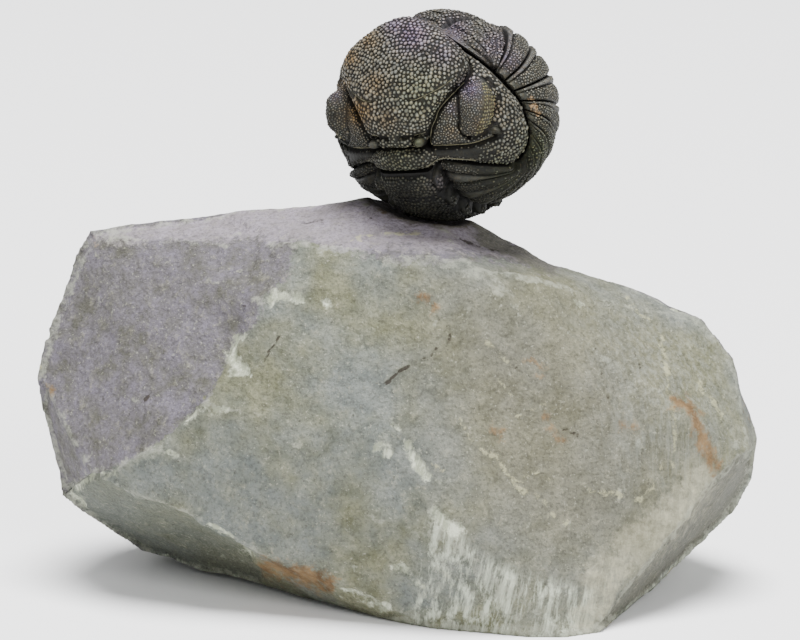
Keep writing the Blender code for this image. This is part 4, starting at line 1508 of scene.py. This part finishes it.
def make_stone(source, material):
    """The matrix stone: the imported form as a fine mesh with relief, and values for its finish."""
    fine = fine_form(source)
    points = vector_array(fine.vertices, "co")
    normals = vector_array(fine.vertex_normals, "vector")
    seen_from = np.array(camera_axes()[0])
    front = smooth_step(-0.02, 0.12, np.sum(unit(seen_from - points) * normals, axis=-1))
    hidden = 1 - front
    pixels = ragged(points, seen_at(points))
    values = {label: mark_value(pixels, lines) * front for label, lines in STONE_MARKS.items()}
    for label, (outline, softness) in STONE_FACES.items():
        values[label] = np.clip(0.5 + inside_outline(pixels, outline) / softness, 0, 1) * front
    upward = smooth_step(0.1, 0.5, normals[:, 2])
    leftward = smooth_step(-0.2, -0.5, normals[:, 0])
    values["violet"] += hidden * np.maximum(upward, leftward)
    values["striated"] += hidden * smooth_step(0, -0.3, normals[:, 2])
    for label, (size, rarity) in HIDDEN_MARKS.items():
        values[label] += hidden * patches(points, size, rarity)
    values["edge"] = sharp_edges(fine, points, normals)
    from_roll = np.linalg.norm(points - np.array(ROLL_CENTRE), axis=-1)
    # A band of painted contact shadow round the fossil's seat
    values["contact"] = hump(from_roll - SEAT_RADIUS, CONTACT_SHADE_WIDTH)

    depth = stone_relief(points)
    for outline, step in STONE_STEPS:
        depth += step * smooth_step(-3, 3, inside_outline(pixels, outline)) * front
    depth += CHIP_DEPTH * smooth_step(0.4, 0.6, values["chip"])
    depth *= smooth_step(*SEAT_REACH, from_roll)
    depth *= smooth_step(*FOOT_REACH, points[:, 2])
    moved = points - normals * depth[:, None]
    moved[:, 2] = np.maximum(moved[:, 2], 0)
    fine.vertices.foreach_set("co", moved.astype(np.float32).ravel())
    fine.update()
    for label, value in values.items():
        set_value(fine, label, value)
    fine.materials.clear()
    fine.materials.append(material)
    fine.shade_smooth()
    return link("matrix_stone_block", fine)


def make_studio():
    """The pale floor, the soft lights and the camera."""
    bpy.ops.mesh.primitive_plane_add(size=FLOOR_SIZE, location=(0, 0, 0))
    floor = bpy.context.object
    floor.name = "floor"
    floor_paint, _, shader = new_material("floor_paint", FLOOR_ROUGHNESS)
    shader.inputs["Base Color"].default_value = FLOOR_COLOUR
    floor.data.materials.append(floor_paint)
    world = bpy.data.worlds.new("studio")
    bpy.context.scene.world = world
    world.use_nodes = True
    background = world.node_tree.nodes["Background"]
    background.inputs["Color"].default_value = WORLD_COLOUR
    background.inputs["Strength"].default_value = WORLD_STRENGTH
    for name, place, size, power in LIGHTS:
        light = bpy.data.lights.new(name, "AREA")
        light.shape = "DISK"
        light.size = size
        light.energy = power
        lamp = link(name, light)
        lamp.location = place
        lamp.rotation_euler = (CAMERA_TARGET - Vector(place)).to_track_quat("-Z", "Y").to_euler()
    camera = bpy.data.cameras.new("camera")
    camera.lens = CAMERA_LENS
    camera.sensor_width = SENSOR_WIDTH
    camera.clip_start = CAMERA_NEAR
    viewer = link("camera", camera)
    viewer.location = camera_axes()[0]
    viewer.rotation_euler = (math.pi / 2 - CAMERA_TILT, 0, 0)
    bpy.context.scene.camera = viewer


def attach(piece, slot, *nodes):
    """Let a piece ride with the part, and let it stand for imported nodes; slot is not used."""
    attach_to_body(piece, "root")
    if nodes:
        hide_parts(*nodes)


def granulate(host, dome, tree, material, seed):
    values = {"Shape": dome, "Finish": material, "Seed": seed}
    for label, (spacing, radius) in GRANULES.items():
        values[label + " Spacing"] = spacing
        values[label + " Radius"] = radius
    return run_tree(host.name + "_granules", host.data, tree, values)


def main():
    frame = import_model()
    make_studio()

    stone = make_stone(frame["nodes"]["matrix_stone"], make_stone_material())
    attach(stone, "matrix_stone", "matrix_stone")

    hosts = [(make_head(), "cephalon")]
    for number in range(SEGMENT_COUNT):
        node = f"thorax_segment_{number + 1:02d}"
        hosts.append((make_plate(node.replace("segment", "ring"), segment_surface(number)), node))
    hosts.append((make_plate("tail_shield", tail_surface()), "pygidium"))

    shell = make_shell_material()
    granule = make_granule_material("granule_tops", *GRANULE_SHADE_TO_HIGHLIGHT_COLOURS)
    granule_dome = make_dome("granule", GRANULE_PROFILE, GRANULE_SIDES)
    grow = make_granule_tree()
    for seed, (host, node) in enumerate(hosts):
        add_tints(host.data)
        host.data.materials.append(shell)
        granules = granulate(host, granule_dome, grow, granule, 10 * seed)
        attach(host, "fossil_shell", node)
        attach(granules, "fossil_shell")

    lens_dome = make_dome("lens", LENS_PROFILE, LENS_SIDES)
    attach(make_lenses(lens_dome, make_granule_material("eye_lens", *LENS_COLOURS)), "fossil_shell")
    attach(make_threads(make_thread_material()), "fossil_shell")
    for shape in (granule_dome, lens_dome):
        bpy.data.objects.remove(shape, do_unlink=True)


main()
